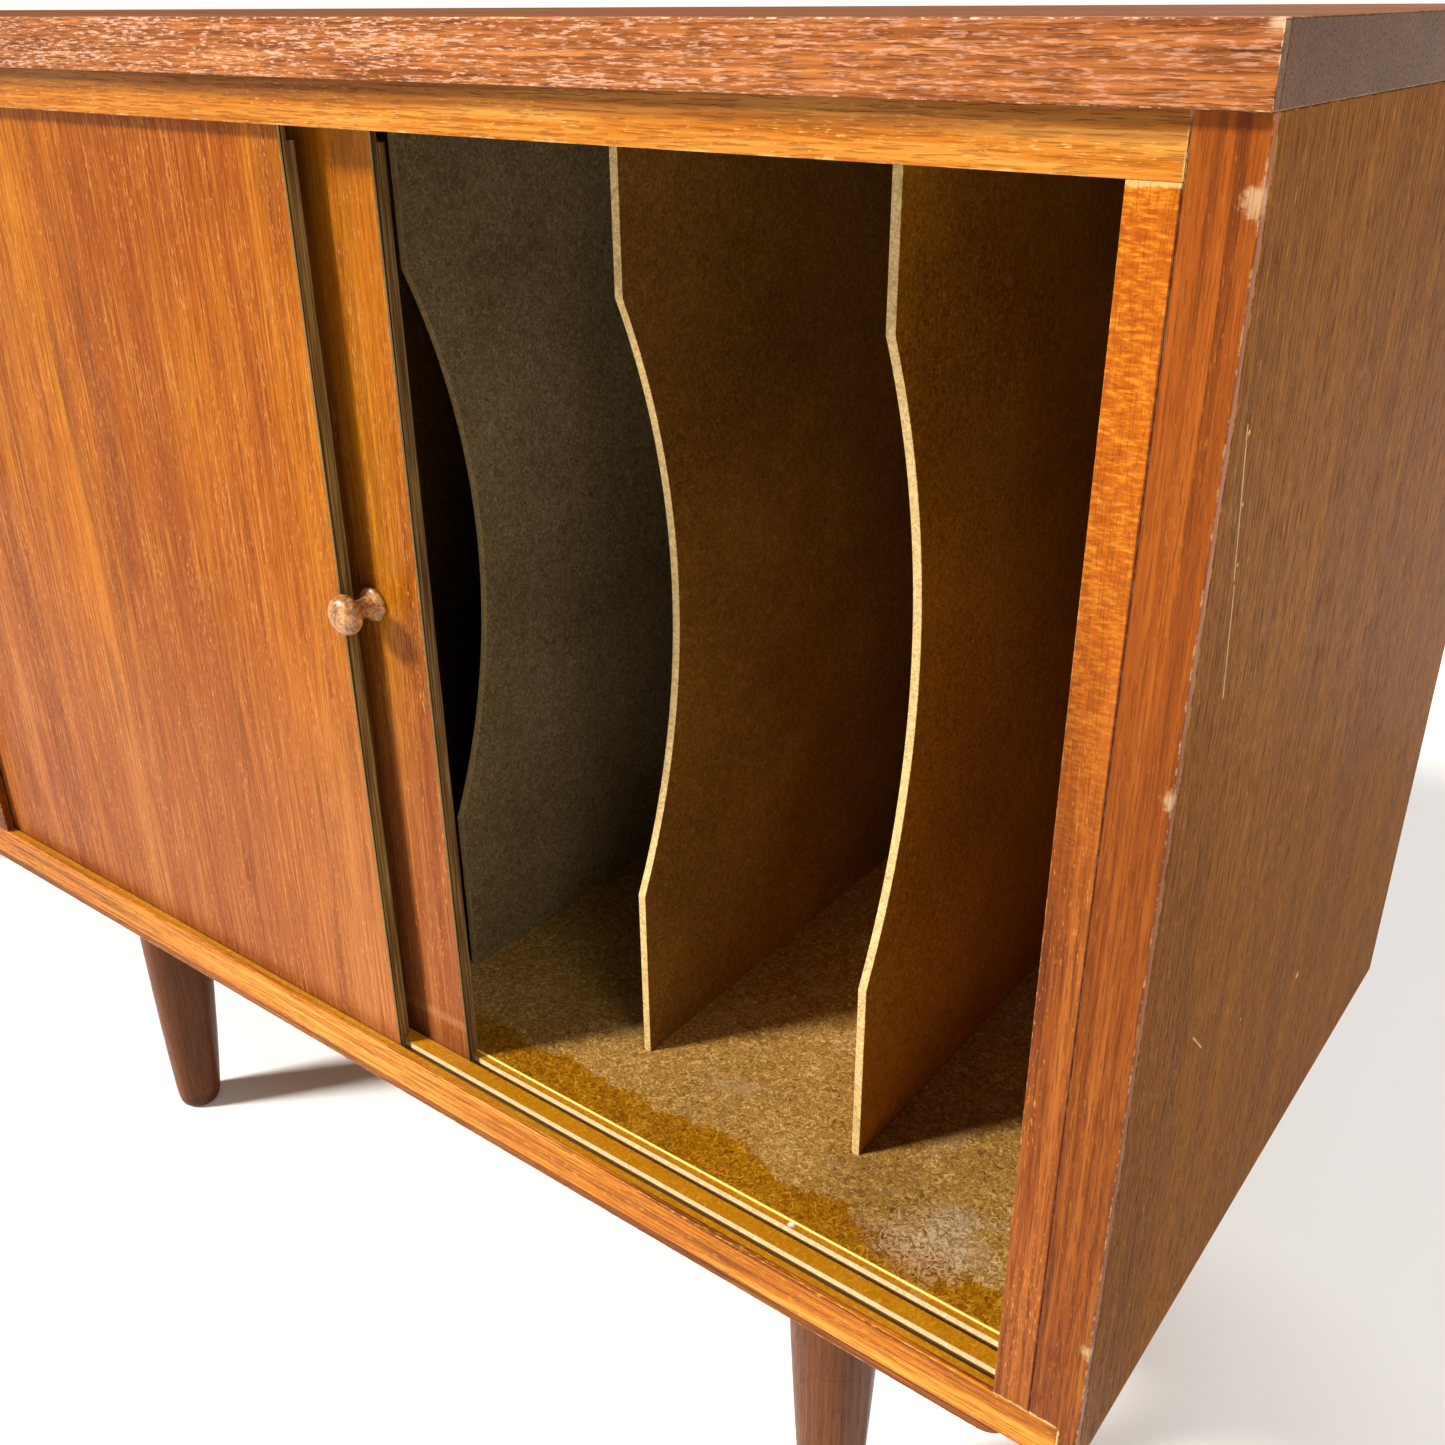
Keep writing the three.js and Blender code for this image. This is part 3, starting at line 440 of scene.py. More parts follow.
def side_joint(g):
    """Old filler where the right side's edging meets the rail and the jamb, and at its foot."""
    x, y, z = g.split(g.position())
    crumbs = g.cloud((200, 200, 90), 4, 0.7)
    shift = g.times(crumbs, 3.2 * MM, x)
    line = g.step(shift, JOINT_X, 1.1, 1.7, 1, 0)
    upper = g.step(z, RAIL_Z, -9, -5)
    low = g.times(crumbs, -2.6 * MM, z)
    foot = g.step(g.gap(low, FLOOR_Z - 1 * MM), 0, 0.5, 1.1, 1, 0)
    inner = g.band(x, RIGHT - TAIL - 1 * MM, RIGHT - TAIL, 1, 0)
    tail = g.step(g.gap(shift, RIGHT - TAIL + 1.6 * MM), 0, 0.4, 1.0, 1, 0)
    tail = g.times(tail, g.band(z, FLOOR_Z - 1 * MM, FLOOR_Z, 1, 0))
    return g.math("MAXIMUM", g.times(line, upper), g.math("MAXIMUM", g.times(foot, inner), tail))


def jamb_joint(g):
    """Filler squeezed out at both ends of the jamb."""
    z = g.split(g.position())[2]
    crumbs = g.cloud(180, 4, 0.7)
    upper = g.step(g.times(crumbs, 3.4 * MM, z), RAIL_Z, -0.1, 0.9)
    lower = g.step(g.times(crumbs, -3.6 * MM, z), FLOOR_Z, -1.1, -0.5, 1, 0)
    return g.math("MAXIMUM", upper, lower)


def jamb_wood():
    g = Wood("jamb_teak", (rgb(92, 40, 8), rgb(138, 72, 20), rgb(176, 104, 42)), "Z", 5.0, 50, 0.7, 0.6, 0.7)
    g.flecks(rgb(216, 146, 84), 0.3, 0.8)
    z = g.split(g.position())[2]
    ribbon = g.cloud((260, 260, 900), 3, 0.65, (2, 3, 1), 0.2)
    upper = g.band(z, FLOOR_Z + 0.18, RAIL_Z - 0.05)
    gold = g.ramp(ribbon, [(0.38, rgb(178, 90, 2)), (0.52, rgb(206, 112, 4)), (0.68, rgb(240, 164, 48))])
    g.paint(upper, gold, 0.75)
    g.paint(g.arris(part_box("right_jamb"), 0.5 * MM), PALE, 0.25)
    seam = g.step(g.split(g.position())[0], JOINT_X, -0.7, -0.4, 0, 0.7)
    g.paint(seam, rgb(84, 28, 6))
    g.paint(jamb_joint(g), CREAM, 0.6)
    return g.finish(0.34, 0.12, 0.25, 0.00012)


def side_veneer(name, node, seed, marks=(), scores=()):
    g = Wood(name, (rgb(78, 44, 6), rgb(122, 76, 20), rgb(158, 108, 44)), "Z", seed, 45, 0.28, 0.42, 1.0)
    g.flecks(rgb(172, 124, 72), 0.3, 0.9)
    for point, radius in marks:
        g.paint(g.near(point, radius, 400), PALE, 0.9)
    for start, end in scores:
        g.paint(g.score(start, end, 0.55 * MM), rgb(206, 184, 226), 0.85)
    g.paint(g.arris(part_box(node), 0.6 * MM), rgb(206, 168, 128), 0.5)
    return g.finish(0.5, 0.0, relief=0.0002, specular=0.03, varnish=(0.82, 0.7, 0.2, 1))


def board_veneer(name, node, seed, grain="X"):
    g = Wood(name, (rgb(88, 42, 14), rgb(142, 82, 34), rgb(182, 118, 60)), grain, seed, 26, 0.8, 0.5, 0.7)
    g.paint(g.arris(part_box(node), 0.7 * MM), PALE, 0.5)
    if node == "lid":
        front = g.band(g.split(g.facing())[1], -0.9, -0.5, 1, 0)
        g.paint(front, rgb(178, 108, 66), 0.6)
        g.flecks(rgb(228, 184, 156), 0.8, 0.7, front)
    # Painted shade: the top board's right-facing end face is painted dark.
    if node == "top_board":
        g.paint(g.band(g.split(g.facing())[0], 0.5, 0.9), rgb(72, 50, 24), 0.8)
    return g.finish(0.4, 0.08, 0.3, 0.00018)


def door_veneer(name, node, seed):
    """Straight-grained veneer, deeper above and paler and pinker below, where a reflection of the pale floor
    is painted, with a plywood edge at both ends.
    """
    lo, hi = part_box(node)
    g = Wood(name, (rgb(114, 50, 0), rgb(180, 98, 0), rgb(232, 160, 24)), "Z", seed, 17, 0.5, 0.3, 0.6)
    zone = g.cloud((11, 11, 2.4), 2, 0.5, (seed, 2, 6))
    g.paint(g.band(zone, 0.4, 0.52, 0.45, 0), rgb(146, 62, 8))
    g.paint(g.band(zone, 0.54, 0.66, 0, 0.3), rgb(236, 144, 16))
    # Painted reflection: paler, pinker tones low on the door stand for the pale floor mirrored in it.
    low = g.ramp(g.tone, [(0.1, rgb(122, 58, 26)), (0.5, rgb(176, 100, 58)), (0.9, rgb(216, 150, 106))])
    z = g.split(g.position())[2]
    cloud = g.cloud((3, 3, 2), 2, 0.5, (seed, 0, 0))
    height = g.sway(cloud, 0.12, z)
    g.colour = g.mix(g.band(height, FLOOR_Z + 0.09, FLOOR_Z + 0.25, 0.95, 0), g.colour, low)
    silk = g.cloud((760, 760, 19), 3, 0.6, (seed, 4, 1))
    g.paint(g.band(silk, 0.54, 0.7, 0, 0.5), rgb(236, 164, 92))
    smoke = g.cloud((75, 75, 6), 3, 0.6, (2, seed, 1), 0.4)
    g.paint(g.band(smoke, 0.54, 0.72, 0, 0.42), rgb(118, 54, 14))
    g.flecks(rgb(236, 170, 112), 0.3, 0.9)
    g.paint(g.band(z, FLOOR_Z, FLOOR_Z + 16 * MM, 0.35, 0), rgb(112, 44, 16))
    if node == "rear_door":
        # Pale band near the foot of the rear door: partly wear and partly a painted sheen.
        rub_and_sheen = g.gap(z, FLOOR_Z + 19 * MM)
        g.paint(g.step(rub_and_sheen, 0, 1, 4, 0.4, 0), rgb(226, 170, 130))
        # Painted shadow: a dark band on the rear door along the front door's right edge, standing for the
        # shadow that edge casts.
        grime_and_shadow = g.gap(g.split(g.position())[0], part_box("front_door")[1].x + 2 * MM)
        g.paint(g.step(grime_and_shadow, 0, 3, 11, 0.6, 0), rgb(74, 28, 2))
    g.paint(g.arris((lo, hi), 0.5 * MM, 500), rgb(214, 178, 134), 0.7)
    nx, ny, nz = g.split(g.facing())
    end = g.band(g.math("ABSOLUTE", nx), 0.6, 0.8)
    y = g.split(g.position())[1]
    ply = g.cloud((400, 1100, 22), 3, 0.6, (1, seed, 2))
    core = g.ramp(ply, [(0.3, rgb(84, 60, 40)), (0.5, rgb(140, 112, 80)), (0.75, rgb(196, 170, 132))])
    face_ply = g.band(y, lo.y + 0.7 * MM, lo.y + 1.0 * MM, 1, 0)
    glue = g.step(g.gap(y, lo.y + 1.3 * MM), 0, 0.15, 0.4, 1, 0)
    core = g.mix(face_ply, core, rgb(222, 202, 168))
    core = g.mix(glue, core, rgb(58, 38, 26))
    g.paint(end, core)
    depth = (0.55, 0.49, 0.34, 1) if node == "rear_door" else (0.64, 0.56, 0.33, 1)
    return g.finish(0.34, 0.05, 0.2, 0.00012, varnish=depth)


def fibreboard(name, tones, edge=None, sheen=0.6, thin="X"):
    """Pressed fibreboard with short fibres; a sawn edge is paler."""
    g = Graph(name)
    blotch = g.cloud(9, 4, 0.6)
    fibre = g.cloud(380, 5, 0.78, distortion=1.6)
    speck = g.cloud(1300, 2, 0.5, (5, 2, 8))
    tone = g.sway(fibre, 2.0, 0.5)
    tone = g.sway(blotch, 0.7, tone)
    dark, mid, light = tones
    colour = g.ramp(tone, [(0.15, dark), (0.5, mid), (0.9, light)])
    colour = g.mix(g.band(speck, 0.66, 0.72, 0, 0.55), colour, dark)
    if edge:
        facing = g.split(g.facing())[AXES[thin]]
        sawn = g.band(g.math("ABSOLUTE", facing), 0.55, 0.75, 1, 0)
        edge_dark, edge_light = edge
        torn = g.ramp(fibre, [(0.3, edge_dark), (0.62, edge_light)])
        colour = g.mix(sawn, colour, torn)
    normal = g.bump(fibre, 0.00018, 0.7)
    rough = g.times(fibre, 0.2, sheen)
    return g.shader(colour, rough, 0.4, normal=normal)


def floor_board():
    """Bottom board: amber lacquered track strips, cream groove walls with painted shade deep in the grooves,
    a painted highlight along the ridge and a dusty fibreboard floor.
    """
    g = Graph("floor_fibreboard")
    x, y, z = g.split(g.position())
    fibre = g.cloud(330, 5, 0.78, distortion=1.6)
    blotch = g.cloud(7, 4, 0.6)
    tone = g.sway(fibre, 2.2, 0.5)
    tone = g.sway(blotch, 0.6, tone)
    bare = g.ramp(tone, [(0.12, rgb(88, 56, 6)), (0.5, rgb(154, 112, 42)), (0.9, rgb(222, 188, 118))])
    amber = g.ramp(tone, [(0.15, rgb(86, 48, 0)), (0.5, rgb(146, 94, 4)), (0.9, rgb(210, 154, 46))])
    creep = g.cloud(38, 5, 0.65, (1, 6, 2))
    reach = g.times(creep, -34 * MM, y)
    spray = g.step(reach, FRONT, 27, 30, 1, 0)
    tracks = g.step(y, FRONT, 24, 25, 0.5, 0)
    colour = g.mix(spray, bare, g.mix(tracks, amber, rgb(190, 124, 14)))
    patch = g.cloud(30, 5, 0.7, (7, 7, 3))
    dust = g.times(g.band(patch, 0.54, 0.74, 0, 0.4), g.math("SUBTRACT", 1.0, spray))
    colour = g.mix(dust, colour, rgb(168, 146, 112))
    handful = g.times(g.near(place(-86, 46, 190), 30 * MM, 60, 0.9), 0.42)
    colour = g.mix(g.times(handful, g.band(fibre, 0.42, 0.58)), colour, rgb(206, 190, 170))
    colour = g.mix(g.near(place(-139.5, 23.5, 189.6), 2.2 * MM, 900, 0.3), colour, rgb(248, 246, 240))
    wall = g.step(z, FLOOR_Z, -0.7, -0.3, 1, 0)
    groove_wall_and_shade = g.ramp(fibre, [(0.3, rgb(206, 172, 116)), (0.6, rgb(246, 226, 180))])
    # Painted shade: the deeper part of each groove is painted dark brown.
    groove_wall_and_shade = g.mix(g.step(z, FLOOR_Z, -3.7, -3.0, 1, 0), groove_wall_and_shade, rgb(116, 80, 34))
    colour = g.mix(wall, colour, groove_wall_and_shade)
    nx, ny, nz = g.split(g.facing())
    under = g.band(nz, -0.9, -0.5, 1, 0)
    colour = g.mix(under, colour, g.ramp(tone, [(0.1, rgb(92, 64, 36)), (0.9, rgb(162, 124, 80))]))
    # Painted highlight: a bright line along the ridge just behind the track strips.
    ridge = g.times(g.step(y, FRONT, 25.2, 25.7, 1, 0), g.step(y, FRONT, 24.6, 25.1))
    colour = g.mix(ridge, colour, rgb(252, 222, 130))
    gloss = g.times(spray, -0.34, g.times(fibre, 0.2, 0.56))
    normal = g.bump(fibre, 0.0002, 0.7)
    return g.shader(colour, gloss, 0.5, normal=normal)


def metal(name, colour, rough=0.3, grain=None, spots=0.0):
    """Bare or plated metal, brushed along grain, with a little tarnish."""
    g = Graph(name)
    scale = along(grain, 20, 1400) if grain else 700
    scratch = g.cloud(scale, 3, 0.6)
    cloud = g.cloud(60, 4, 0.6)
    tone = g.times(scratch, 0.25, g.times(cloud, 0.25))
    dark = tuple(c * 0.6 for c in colour[:3]) + (1,)
    base = g.mix(g.band(tone, 0.1, 0.42), dark, colour)
    if spots:
        pit = g.cloud(420, 3, 0.7, (2, 9, 4))
        base = g.mix(g.band(pit, 0.66, 0.72, 0, spots), base, rgb(72, 50, 34))
    normal = g.bump(scratch, 0.00003, 0.6)
    return g.shader(base, g.times(scratch, 0.22, rough - 0.1), metal=1.0, normal=normal)


def plastic(name, colour, rough=0.3, grime_and_shadow=0.25, coat=0.0):
    """Moulded plastic with faint mottling and grime."""
    g = Graph(name)
    cloud = g.cloud(90, 4, 0.6)
    grit = g.cloud(1500, 2, 0.5)
    dirty = tuple(c * 0.55 for c in colour[:3]) + (1,)
    base = g.mix(g.band(cloud, 0.45, 0.8, 0, grime_and_shadow), colour, dirty)
    base = g.mix(g.band(grit, 0.68, 0.74, 0, 0.3), base, dirty)
    normal = g.bump(grit, 0.00003, 0.5)
    return g.shader(base, g.times(cloud, 0.2, rough - 0.1), normal=normal, coat=coat)


def enamel(name, colour):
    """Stoved enamel with a slight orange peel and a few chips."""
    g = Graph(name)
    peel = g.cloud(620, 2, 0.5)
    chip = g.cloud(140, 5, 0.7, (3, 1, 5))
    soft = g.cloud(14, 3, 0.6)
    worn = tuple(c * 0.8 for c in colour[:3]) + (1,)
    base = g.mix(g.band(soft, 0.4, 0.75, 0, 0.5), colour, worn)
    base = g.mix(g.band(chip, 0.78, 0.8, 0, 0.8), base, rgb(96, 84, 70))
    return g.shader(base, 0.3, normal=g.bump(peel, 0.00006, 0.5), coat=0.3, coat_rough=0.12)


def cloth(name):
    """Plain-woven loudspeaker cloth: thick tan threads with a darker brown weft."""
    g = Graph(name)
    x, y, z = g.split(g.position())
    pitch = 2 * math.pi / (1.1 * MM)
    warp = g.math("SINE", g.times(x, pitch))
    weft = g.math("SINE", g.times(z, pitch))
    over = g.math("GREATER_THAN", g.times(g.math("SINE", g.times(x, pitch / 2)),
                                          g.math("SINE", g.times(z, pitch / 2))), 0)
    weave = g.math("ADD", g.times(over, g.math("ABSOLUTE", warp)),
                   g.times(g.math("SUBTRACT", 1.0, over), g.math("ABSOLUTE", weft)))
    slub = g.cloud((60, 60, 900), 3, 0.6)
    slub_b = g.cloud((900, 60, 60), 3, 0.6)
    tan = g.ramp(slub, [(0.3, rgb(150, 124, 84)), (0.7, rgb(204, 180, 136))])
    brown = g.ramp(slub_b, [(0.3, rgb(104, 76, 46)), (0.7, rgb(176, 140, 92))])
    colour = g.mix(over, brown, tan)
    colour = g.mix(g.band(weave, 0.0, 0.5, 0.7, 0), colour, rgb(60, 44, 30))
    stain = g.cloud(6, 4, 0.6)
    colour = g.mix(g.band(stain, 0.45, 0.75, 0, 0.3), colour, rgb(112, 90, 62))
    return g.shader(colour, 0.9, 0.2, normal=g.bump(weave, 0.0003, 0.9), sheen=0.3)


def turned_wood(name, tones, seed):
    """Stained turned wood with fine upright grain and faint lathe rings."""
    g = Wood(name, tones, "Z", seed, 50, 0.22, 0.26, 0.5)
    ring = g.cloud((4, 4, 900), 2, 0.5)
    g.paint(g.band(ring, 0.62, 0.7, 0, 0.25), tones[0])
    z = g.split(g.position())[2]
    g.paint(g.step(z, 0, 2, 14, 0.5, 0), tones[0])
    return g.finish(0.36, 0.16, 0.2, 0.0001, varnish=(0.94, 0.8, 0.6, 1))


def knob_wood():
    """Small spool knobs: brown stain rubbed pale on the proud places."""
    g = Graph("knob_wood")
    speck = g.cloud((700, 500, 700), 4, 0.7)
    rub_and_sheen = g.cloud(150, 3, 0.6, (2, 2, 2))
    tone = g.sway(speck, 0.9, rub_and_sheen)
    colour = g.ramp(tone, [(0.26, rgb(78, 44, 20)), (0.44, rgb(146, 94, 48)), (0.78, rgb(214, 162, 104))])
    return g.shader(colour, g.times(speck, 0.25, 0.26), normal=g.bump(speck, 0.00012, 0.6), coat=0.25)


def glass(name, tint, rough=0.02):
    """Thin clear glass that lets light through and mirrors at a slant, with faint smears."""
    g = Graph(name)
    smear = g.cloud(30, 4, 0.6)
    clear = g.node("BsdfTransparent")
    g.feed(clear.inputs["Color"], tint)
    shine = g.node("BsdfGlossy")
    g.feed(shine.inputs["Roughness"], g.times(smear, 0.1, rough))
    slant = g.math("POWER", g.node("LayerWeight").outputs["Facing"], 4.0)
    mirror = g.times(slant, 0.6, 0.04)
    dull = g.times(g.band(smear, 0.5, 0.8), 0.03, mirror)
    both = g.node("MixShader")
    g.feed(both.inputs[0], dull)
    g.tree.links.new(clear.outputs[0], both.inputs[1])
    g.tree.links.new(shine.outputs[0], both.inputs[2])
    g.tree.links.new(both.outputs[0], g.node("OutputMaterial").inputs[0])
    return g.material


def printed_card(name, colour):
    g = Graph(name)
    fibre = g.cloud(900, 3, 0.6)
    age = g.cloud(25, 4, 0.6)
    worn = tuple(c * 0.72 for c in colour[:3]) + (1,)
    base = g.mix(g.band(age, 0.4, 0.8, 0, 0.6), colour, worn)
    return g.shader(base, 0.7, 0.3, normal=g.bump(fibre, 0.00004, 0.5))


# ---- mesh helpers ----------------------------------------------------------------------------------------
def piece(name, bm, material, body, replaces=(), crease=35, bevel=0.0):
    """Makes a mesh object of bm, which rides on a body, and smooths it up to the crease angle."""
    bmesh.ops.recalc_face_normals(bm, faces=bm.faces)
    mesh = bpy.data.meshes.new(name)
    bm.to_mesh(mesh)
    bm.free()
    mesh.polygons.foreach_set("use_smooth", [True] * len(mesh.polygons))
    mesh.set_sharp_from_angle(angle=math.radians(crease))
    obj = bpy.data.objects.new(name, mesh)
    bpy.context.scene.collection.objects.link(obj)
    mesh.materials.append(material)
    if bevel:
        soften(obj, bevel, weld=False)
    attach(obj, body)
    if replaces:
        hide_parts(*replaces)
    return obj


def soften(obj, width, weld=True):
    """Rounds the sharp edges of a flat-faced piece with modifiers."""
    if weld:
        join = obj.modifiers.new("weld", "WELD")
        join.merge_threshold = 0.00001
    bevel = obj.modifiers.new("bevel", "BEVEL")
    bevel.width = width
    bevel.segments = 2
    bevel.limit_method = "ANGLE"
    bevel.angle_limit = math.radians(32)
    bevel.harden_normals = True
    bevel.use_clamp_overlap = True


def spline(points, steps=6):
    """Points of a smooth curve through the given (a, b) pairs."""
    out = []
    for i in range(len(points) - 1):
        p0 = points[max(i - 1, 0)]
        p1, p2 = points[i], points[i + 1]
        p3 = points[min(i + 2, len(points) - 1)]
        for s in range(steps):
            t = s / steps
            out.append(tuple(0.5 * (2 * b + (c - a) * t + (2 * a - 5 * b + 4 * c - d) * t * t
                                    + (3 * b - a - 3 * c + d) * t ** 3) for a, b, c,
                             d in zip(p0, p1, p2, p3)))
    out.append(tuple(points[-1]))
    return out


def skin(bm, rings, closed=True, capped=False):
    """Faces between neighbouring rings of vertices. A ring of one vertex is a point."""
    for a, b in zip(rings, rings[1:]):
        count = max(len(a), len(b))
        for i in range(count if closed else count - 1):
            j = (i + 1) % count
            low = (a[i], a[j]) if len(a) > 1 else (a[0],)
            high = (b[j], b[i]) if len(b) > 1 else (b[0],)
            if len(low) + len(high) > 2:
                bm.faces.new(low + high)
    if capped:
        bm.faces.new(rings[0])
        bm.faces.new(list(reversed(rings[-1])))
    return bm


def frame_of(axis):
    """A turn that sends +Z to the axis."""
    return Vector((0, 0, 1)).rotation_difference(Vector(axis)).to_matrix().to_4x4()


def lathe(profile, at=(0, 0, 0), axis=(0, 0, 1), steps=64, flute=None, bm=None):
    """Turns a (radius, height) profile about an axis through at. flute(angle, radius) may change a radius."""
    bm = bm or bmesh.new()
    turn = Matrix.Translation(at) @ frame_of(axis)
    rings = []
    for radius, height in profile:
        if radius <= 1e-6:
            rings.append([bm.verts.new(turn @ Vector((0, 0, height * MM)))])
            continue
        ring = []
        for i in range(steps):
            angle = 2 * math.pi * i / steps
            r = flute(angle, radius) if flute else radius
            point = Vector((math.cos(angle) * r, math.sin(angle) * r, height))
            ring.append(bm.verts.new(turn @ (point * MM)))
        rings.append(ring)
    return skin(bm, rings)


def block(lo, hi, radius=0.0, segments=2, bm=None):
    """A box from corner to corner, with rounded edges."""
    bm = bm or bmesh.new()
    made = bmesh.ops.create_cube(bm, size=1)["verts"]
    lo, hi = Vector(lo), Vector(hi)
    for v in made:
        v.co = Vector([lo[i] + (v.co[i] + 0.5) * (hi[i] - lo[i]) for i in range(3)])
    if radius:
        edges = list({e for v in made for e in v.link_edges})
        bmesh.ops.bevel(bm, geom=edges, offset=radius, segments=segments, profile=0.5, affect="EDGES")
    return bm


def slab(centre, half_x, half_y, low, high, radius=0.0, segments=2, bm=None):
    """An upright block about a centre; its half sizes are in millimetres."""
    half = Vector((half_x, half_y)) * MM
    return block((*(Vector(centre) - half), low), (*(Vector(centre) + half), high), radius, segments, bm)


def prism(outline, axis, low, high):
    """An outline of points swept along X, Y or Z from low to high."""
    bm = bmesh.new()
    k = AXES[axis]
    others = [i for i in range(3) if i != k]

    def corner(point, level):
        v = [0.0] * 3
        v[k] = level
        v[others[0]], v[others[1]] = point
        return bm.verts.new(v)
    bottom = [corner(p, low) for p in outline]
    top = [corner(p, high) for p in outline]
    return skin(bm, [bottom, top], capped=True)


def tube(path, radius, sides=16):
    """A round tube along points; radius is a number or one for each point."""
    bm = bmesh.new()
    path = [Vector(p) for p in path]
    radii = radius if isinstance(radius, (list, tuple)) else [radius] * len(path)
    reference = Vector((0, 0, 1))
    rings = []
    for i, p in enumerate(path):
        tangent = (path[min(i + 1, len(path) - 1)] - path[max(i - 1, 0)]).normalized()
        if abs(tangent.dot(reference)) > 0.95:
            reference = Vector((1, 0, 0))
        side = tangent.cross(reference).normalized()
        up = side.cross(tangent)
        rings.append([bm.verts.new(p + (side * math.cos(a) + up * math.sin(a)) * radii[i])
                      for a in (2 * math.pi * k / sides for k in range(sides))])
    return skin(bm, rings, capped=True)


def screw_head(bm, at, axis, radius=2.6, rise=0.7):
    """A slotted domed screw head on a surface, turned a little at random."""
    turn = Matrix.Translation(at) @ frame_of(axis) @ Matrix.Rotation(random.uniform(0, math.pi), 4, "Z")
    steps, slot = 24, 0.22
    rings = []
    for r, h in ((radius, 0.0), (radius, rise * 0.35), (radius * 0.8, rise * 0.85)):
        rings.append([bm.verts.new(turn @ Vector((math.cos(a) * r * MM, math.sin(a) * r * MM, h * MM)))
                      for a in (2 * math.pi * i / steps for i in range(steps))])
    skin(bm, rings, capped=True)
    reach = radius * 0.72
    for sign in (-1, 1):
        lip = [Vector((-reach, sign * slot, rise * 0.84)), Vector((reach, sign * slot, rise * 0.84)),
               Vector((reach * 0.7, sign * (slot + radius * 0.45), rise * 1.02)),
               Vector((-reach * 0.7, sign * (slot + radius * 0.45), rise * 1.02))]
        foot = [Vector((p.x, p.y, rise * 0.6)) for p in lip]
        skin(bm, [[bm.verts.new(turn @ (p * MM)) for p in loop] for loop in (foot, lip)], capped=True)
    return bm


def screws(name, points, axis, material, body, radius=2.6, rise=0.7):
    bm = bmesh.new()
    for point in points:
        screw_head(bm, point, axis, radius, rise)
    return piece(name, bm, material, body)


def span(node):
    """Low corner, high corner and middle of a node."""
    lo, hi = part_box(node)
    return lo, hi, (lo + hi) / 2


def finish_node(node, material, bevel=0.0):
    """Gives a CAD node its finish, and rounds its edges."""
    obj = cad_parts[node]
    obj.data.materials.clear()
    obj.data.materials.append(material)
    if bevel:
        soften(obj, bevel)


# ---- case ------------------------------------------------------------------------------------------------
def case():
    corner = Vector((RIGHT + MM, FRONT - 5 * MM, TOP_Z))
    finish_node("top_front_lipping", top_lipping("top_lipping_teak", "top_front_lipping", 1.0, corner),
                0.8 * MM)
    finish_node("top_board", board_veneer("top_veneer", "top_board", 3.0), 0.6 * MM)
    finish_node("lid", board_veneer("lid_veneer", "lid", 4.0), 0.7 * MM)
    finish_node("top_rail", rail_wood(), 0.3 * MM)
    red = (rgb(84, 37, 6), rgb(132, 69, 16), rgb(170, 102, 38))
    gold = (rgb(116, 58, 4), rgb(204, 124, 30), rgb(246, 184, 90))
    worn = [(place(-1, 0, 607), 5 * MM), (place(0, 0, 450), 4 * MM), (place(0, 0, 233), 4 * MM)]
    side_teak = lipping_wood("side_lipping_teak", "right_side_lipping", "Z", red, 6.0,
                             rgb(188, 100, 30), side_joint, worn)
    finish_node("right_side_lipping", side_teak, 0.5 * MM)
    finish_node("left_side_lipping", lipping_wood("left_lipping_teak", "left_side_lipping", "Z", red, 7.0),
                0.5 * MM)
    finish_node("bottom_lipping", lipping_wood("bottom_lipping_teak", "bottom_lipping", "X", gold, 8.0),
                0.9 * MM)
    finish_node("centre_stile", lipping_wood("stile_teak", "centre_stile", "Z", red, 9.0), 0.4 * MM)
    finish_node("right_jamb", jamb_wood(), 0.4 * MM)
    marks = [(place(0, 17, 550), 1.0 * MM), (place(0, 21, 530), 0.9 * MM), (place(0, 25, 512), 0.9 * MM),
             (place(0, 202, 272), 2.4 * MM), (place(0, 120, 300), 1.0 * MM)]
    scores = [(place(0, 15, 552), place(0, 24, 508)), (place(0, 25, 506), place(0, 31, 470)),
              (place(0, 60, 330), place(0, 72, 318))]
    finish_node("right_side", side_veneer("right_side_veneer", "right_side", 11.0, marks, scores), 0.5 * MM)
    finish_node("left_side", side_veneer("left_side_veneer", "left_side", 12.0), 0.5 * MM)
    finish_node("centre_partition", side_veneer("partition_veneer", "centre_partition", 13.0), 0.3 * MM)
    finish_node("hinge_rail", board_veneer("hinge_rail_teak", "hinge_rail", 14.0), 0.4 * MM)
    finish_node("bottom_board", floor_board())
    inner = fibreboard("inner_top_board", (rgb(54, 32, 8), rgb(92, 60, 20), rgb(130, 92, 42)))
    finish_node("inner_top", inner)
    back = fibreboard("back_hardboard", (rgb(88, 58, 32), rgb(128, 90, 52), rgb(160, 122, 78)),
                      (rgb(150, 112, 68), rgb(196, 160, 108)), thin="Y")
    finish_node("back_panel", back)
    finish_node("back_cover", back, 0.3 * MM)
    for row, seed in (("front", 15.0), ("rear", 16.0)):
        node = f"leg_rail_{row}"
        finish_node(node, board_veneer(f"{node}_teak", node, seed), 1.2 * MM)


DIVIDER = {"low": 90, "high": 62, "sag": 30}


